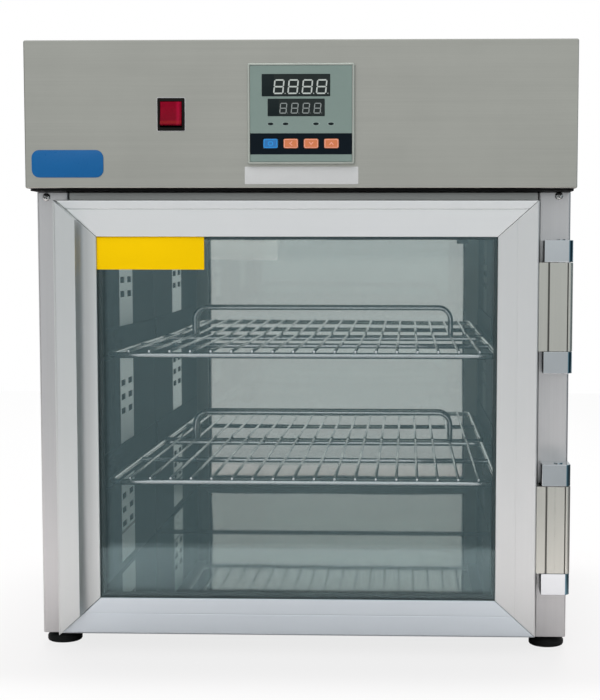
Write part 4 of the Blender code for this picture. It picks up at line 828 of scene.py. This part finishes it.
# a window is part proud of the panel, part sunk; its pane leaves a dark strip at the left
windows = {"proud": 0.00025, "sunk": 0.0002, "corner": 0.0006, "edge": 0.0001,
           "paneInset": 0.0012, "paneThick": 0.00014, "paneSunk": 0.0001, "paneCorner": 0.0004,
           "places": {"upperWindow": {"middle": (-0.0045, 0.0254), "size": (0.0619, 0.0199), "strip": 0.0105},
                      "lowerWindow": {"middle": (-0.0043, 0.0055), "size": (0.0517, 0.0156), "strip": 0.0095}}}


def buildWindows():
    w = windows
    for name, look in w["places"].items():
        centre, size, strip = onPanel(*look["middle"]), look["size"], look["strip"]
        bm = bmesh.new()
        card(bm, centre, size, panelLow.y + w["sunk"], w["proud"] + w["sunk"], w["corner"], w["edge"])
        asPiece(bm, name, ["displayBlack"])
        bm = bmesh.new()
        card(bm, (centre[0] + strip / 2, centre[1]), (size[0] - strip - w["paneInset"], size[1] - w["paneInset"]),
             panelLow.y - w["proud"] + w["paneSunk"], w["paneThick"], w["paneCorner"])
        asPiece(bm, name + "Pane", ["displayGrey"])


# the weight, lean and dot place are shares of a figure's width, the trim and the dot's radius of its stroke
digits = {"count": 4, "slant": 0.10, "lean": 0.06, "trim": 0.35, "dot": 0.36, "dotPlace": 0.66, "dotDepth": 0.00012,
          "dotSides": 10, "thick": 0.00006, "gap": 0.00004,
          "rows": {
              "upperDigits": {"middle": (0.0000, 0.0240), "wide": 0.0094, "tall": 0.0131, "pitch": 0.0129,
                              "weight": 0.13, "tone": "segmentGrey"},
              "lowerDigits": {"middle": (-0.0001, 0.0048), "wide": 0.0064, "tall": 0.0095, "pitch": 0.0103,
                              "weight": 0.12, "tone": "segmentDim"}}}


def segment(bm, x, z, length, stroke, upright, front):
    # one bar of a figure: a six-sided sliver whose two pointed ends come from the circle's points on Y
    bar = ops.create_circle(bm, cap_ends=True, segments=6, radius=1.0)["verts"]
    for vert in bar:
        pointed = abs(vert.co.y) > 0.9
        vert.co = Vector((math.copysign(length / 2 if pointed else length / 2 - stroke / 2, vert.co.y),
                          0.0 if pointed else math.copysign(stroke / 2, vert.co.x), 0))
    if upright:
        ops.rotate(bm, cent=(0, 0, 0), matrix=turned(90, "Z"), verts=bar)
    ops.rotate(bm, cent=(0, 0, 0), matrix=faceUp, verts=bar)
    ops.translate(bm, vec=(x, front, z), verts=bar)
    ops.extrude_face_region(bm, geom=list(bar[0].link_faces))
    ops.translate(bm, vec=(0, -digits["thick"], 0), verts=bar)


def buildDigits():
    d = digits
    front = panelLow.y - windows["proud"] - d["gap"]
    for name, row in d["rows"].items():
        middle, height = onPanel(*row["middle"])
        wide, stroke = row["wide"], row["wide"] * row["weight"]
        half, rise = wide / 2 - stroke / 2, row["tall"] / 2 - stroke / 2
        dot = {"radius1": stroke * d["dot"], "radius2": stroke * d["dot"], "depth": d["dotDepth"]}
        bm = bmesh.new()
        for i in range(d["count"]):
            x = middle + (i - (d["count"] - 1) / 2) * row["pitch"] - wide * d["lean"]
            for lift in (-rise, 0.0, rise):
                segment(bm, x, height + lift, 2 * half - stroke * d["trim"], stroke, False, front)
            for side in (-half, half):
                for lift in (-rise / 2, rise / 2):
                    segment(bm, x + side, height + lift, rise - stroke * d["trim"], stroke, True, front)
            place = Matrix.Translation((x + wide * d["dotPlace"], front, height - rise))
            ops.create_cone(bm, cap_ends=True, segments=d["dotSides"], matrix=place @ faceUp, **dot)
        for vert in bm.verts:
            vert.co.x += (vert.co.z - height) * d["slant"]
        asPiece(bm, name, [row["tone"]])


lamps = {"xs": (-0.0275, -0.0139, 0.0136, 0.0272), "z": -0.0092, "squash": 0.46, "taper": 0.9, "sides": 18,
         "layers": {"lampHalos": {"tone": "haloGrey", "radius": 0.0035, "depth": 0.0002},
                    "stateLamps": {"tone": "displayBlack", "radius": 0.0029, "depth": 0.0004}}}


def buildLamps():
    for name, look in lamps["layers"].items():
        bm = bmesh.new()
        for offset in lamps["xs"]:
            x, z = onPanel(offset, lamps["z"])
            lamp = ops.create_cone(bm, cap_ends=True, segments=lamps["sides"], radius1=look["radius"],
                                         radius2=look["radius"] * lamps["taper"], depth=look["depth"],
                                         matrix=faceUp)["verts"]
            ops.scale(bm, vec=(1.0, 1.0, lamps["squash"]), verts=lamp)
            ops.translate(bm, vec=(x, panelLow.y, z), verts=lamp)
        asPiece(bm, name, [look["tone"]])


# the first key has a ring, the others an arrow head turned by degrees; both in shares of the mark's size
keyMark = {"size": 0.0046, "thick": 0.00008, "inset": 0.0005, "line": 0.0006, "corner": 0.0006,
           "turns": (None, 90, 180, 0), "ring": {"tall": 0.8, "corner": 0.3, "line": 0.16},
           "head": ((-0.5, -0.28), (0.0, 0.34), (0.5, -0.28), (0.26, -0.28), (0.0, 0.06), (-0.26, -0.28))}


def buildKeyMarks():
    # a thin paler line along each key's border, and its mark
    reach, thick, ring, inset = keyMark["size"], keyMark["thick"], keyMark["ring"], keyMark["inset"]
    for i, turn in enumerate(keyMark["turns"], 1):
        low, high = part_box(f"controller_key_{i}")
        centre = centred(low, high)
        bm = bmesh.new()
        if turn is None:
            rimPlate(bm, (0, 0), (reach, reach * ring["tall"]), 0.0, thick,
                     reach * ring["corner"], reach * ring["line"])
        else:
            head = [bm.verts.new((x * reach, 0, z * reach)) for x, z in keyMark["head"]]
            ops.extrude_face_region(bm, geom=[bm.faces.new(head)])
            ops.translate(bm, vec=(0, -thick, 0), verts=head)
            ops.rotate(bm, cent=(0, 0, 0), matrix=turned(-turn, "Y"), verts=bm.verts)
        rimPlate(bm, (0, 0), (high.x - low.x - 2 * inset, high.z - low.z - 2 * inset), 0.0, thick,
                 keyMark["corner"], keyMark["line"])
        ops.translate(bm, vec=(centre[0], low.y, centre[1]), verts=bm.verts)
        asPiece(bm, f"keyMark{i}", ["markBlue" if turn is None else "markWarm"], f"key_{i}")


buildWindows()
buildDigits()
buildLamps()
buildKeyMarks()
print("display drawn")


# Bare plates: the second finish, where there is one, is for the back

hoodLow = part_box("control_hood")[0]
glassLow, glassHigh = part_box("outer_glass")
edgeShare = 0.4  # how much of a plate's thickness its eased edge takes
plates = {
    "lowerPlate": {"centre": (panelMiddle[0], hoodLow.z + 0.0116), "size": (0.1035, 0.0158), "y": hoodLow.y,
        "thick": 0.0003, "corner": 0.0008, "finishes": ["labelWhite"], "body": "cabinet"},
    "badgePlate": {"centre": (hoodLow.x + 0.0395, hoodLow.z + 0.0222), "size": (0.0660, 0.0250), "y": hoodLow.y,
        "thick": 0.0012, "corner": 0.0070, "finishes": ["badgeBlue"], "body": "cabinet"},
    "glassPlate": {"centre": (glassLow.x + 0.0597, glassHigh.z - 0.0252), "size": (0.0994, 0.0300),
        "y": glassLow.y, "thick": 0.0002, "corner": 0.0005,
        "finishes": ["labelYellow", "labelBacking"], "body": "door"}}
for name, p in plates.items():
    bm = bmesh.new()
    card(bm, p["centre"], p["size"], p["y"], p["thick"], p["corner"], p["thick"] * edgeShare)
    ops.recalc_face_normals(bm, faces=bm.faces)
    for face in bm.faces:
        face.material_index = len(p["finishes"]) - 1 if face.normal.y > 0.5 else 0
    asPiece(bm, name, p["finishes"], p["body"])

# A thin light line round the switch
switchLine = {"grow": 0.0014, "thick": 0.0003, "corner": 0.0015, "line": 0.0006}
housingLow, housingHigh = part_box("switch_housing")
bm = bmesh.new()
rimPlate(bm, centred(housingLow, housingHigh),
         (housingHigh.x - housingLow.x + switchLine["grow"], housingHigh.z - housingLow.z + switchLine["grow"]),
         hoodLow.y, switchLine["thick"], switchLine["corner"], switchLine["line"])
asPiece(bm, "switchLine", ["labelWhite"])
print("bare plates laid")


# Pan-head screws: the skirt is a share of the height, the cross is in shares of radius and height

leftLow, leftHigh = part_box("left_side_panel")
rightLow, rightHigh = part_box("right_side_panel")
screws = {"radius": 0.00375, "height": 0.0022, "skirt": 0.25, "rings": 6, "steps": 24, "turn": 0.35,
          "cross": {"long": 0.55, "wide": 0.11, "low": 0.5, "high": 0.99}, "rearInset": 0.011, "headInset": 0.009,
          "front": ((leftLow.x + 0.0093, leftLow.y, leftHigh.z - 0.0045),
                    (rightHigh.x - 0.0112, rightLow.y, rightHigh.z - 0.0034))}


def buildScrews(name, places, facing):
    # places on one face; facing turns the head's axis from straight up
    bm = bmesh.new()
    r, rise, skirt, cross = screws["radius"], screws["height"], screws["skirt"], screws["cross"]
    angles = [math.radians(90 / screws["rings"] * i) for i in range(screws["rings"] + 1)]
    outline = [(r * math.sin(a), rise * math.cos(a) * (1 - skirt) + rise * skirt) for a in angles] + [(r, 0)]
    for place in places:
        before = set(bm.verts)
        points = [bm.verts.new((x, 0, z)) for x, z in outline]
        profile = [bm.edges.new(pair) for pair in zip(points, points[1:])]
        ops.spin(bm, geom=profile, cent=(0, 0, 0), axis=(0, 0, 1), angle=math.tau, steps=screws["steps"],
                       use_merge=True)
        fresh = [v for v in bm.verts if v not in before]
        ops.remove_doubles(bm, verts=fresh, dist=making["touch"])
        ops.holes_fill(bm, edges=[e for e in bm.edges if e.is_boundary], sides=0)
        # painted shade: the cross is a dark mark for the shade in the head's cross recess
        for turn in (screws["turn"], screws["turn"] + math.pi / 2):
            bar = block(bm, (-r * cross["long"], -r * cross["wide"], rise * cross["low"]),
                        (r * cross["long"], r * cross["wide"], rise * cross["high"]))
            ops.rotate(bm, cent=(0, 0, 0), matrix=Matrix.Rotation(turn, 3, "Z"), verts=bar)
            for face in {f for v in bar for f in v.link_faces}:
                face.material_index = 1
        fresh = [v for v in bm.verts if v not in before]
        ops.transform(bm, matrix=Matrix.Translation(place) @ facing, verts=fresh)
    asPiece(bm, name, ["screwSteel", "screwCross"])


def edgePlaces(node, inset, columns, rows):
    # evenly spaced places along the edges of an upright rear panel
    low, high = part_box(node)
    xs = [low.x + inset + (high.x - low.x - 2 * inset) * i / (columns - 1) for i in range(columns)]
    zs = [low.z + inset + (high.z - low.z - 2 * inset) * i / (rows - 1) for i in range(rows)]
    return [(x, high.y, z) for x in xs for z in zs if x in (xs[0], xs[-1]) or z in (zs[0], zs[-1])]


backwards = turned(-90, "X")
buildScrews("frontScrews", screws["front"], faceUp)
buildScrews("rearScrews", edgePlaces("rear_panel", screws["rearInset"], 4, 4), backwards)
buildScrews("headScrews", edgePlaces("head_rear_panel", screws["headInset"], 4, 2), backwards)
print("screws set")


# Inlet pins: three upright blades in the socket, the middle one higher

inletLow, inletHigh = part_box("power_inlet")
pins = {"size": (0.002, 0.004), "places": ((-0.007, -0.0015), (0.0, 0.0025), (0.007, -0.0015)),
        "foot": inletLow.y + 0.0075, "tip": inletHigh.y - 0.0015, "ease": 0.0006}


def buildPins():
    bm = bmesh.new()
    middle = centred(inletLow, inletHigh)
    for x, z in pins["places"]:
        verts = slab(bm, (middle[0] + x, middle[1] + z), pins["size"], pins["foot"], pins["tip"])
        tips = [e for e in edgesOf(verts) if all(v.co.y > pins["tip"] - making["touch"] for v in e.verts)]
        ease(bm, tips, pins["ease"], making["facets"])
    asPiece(bm, "inletPins", ["pinBrass"])


buildPins()
print("inlet pins set")
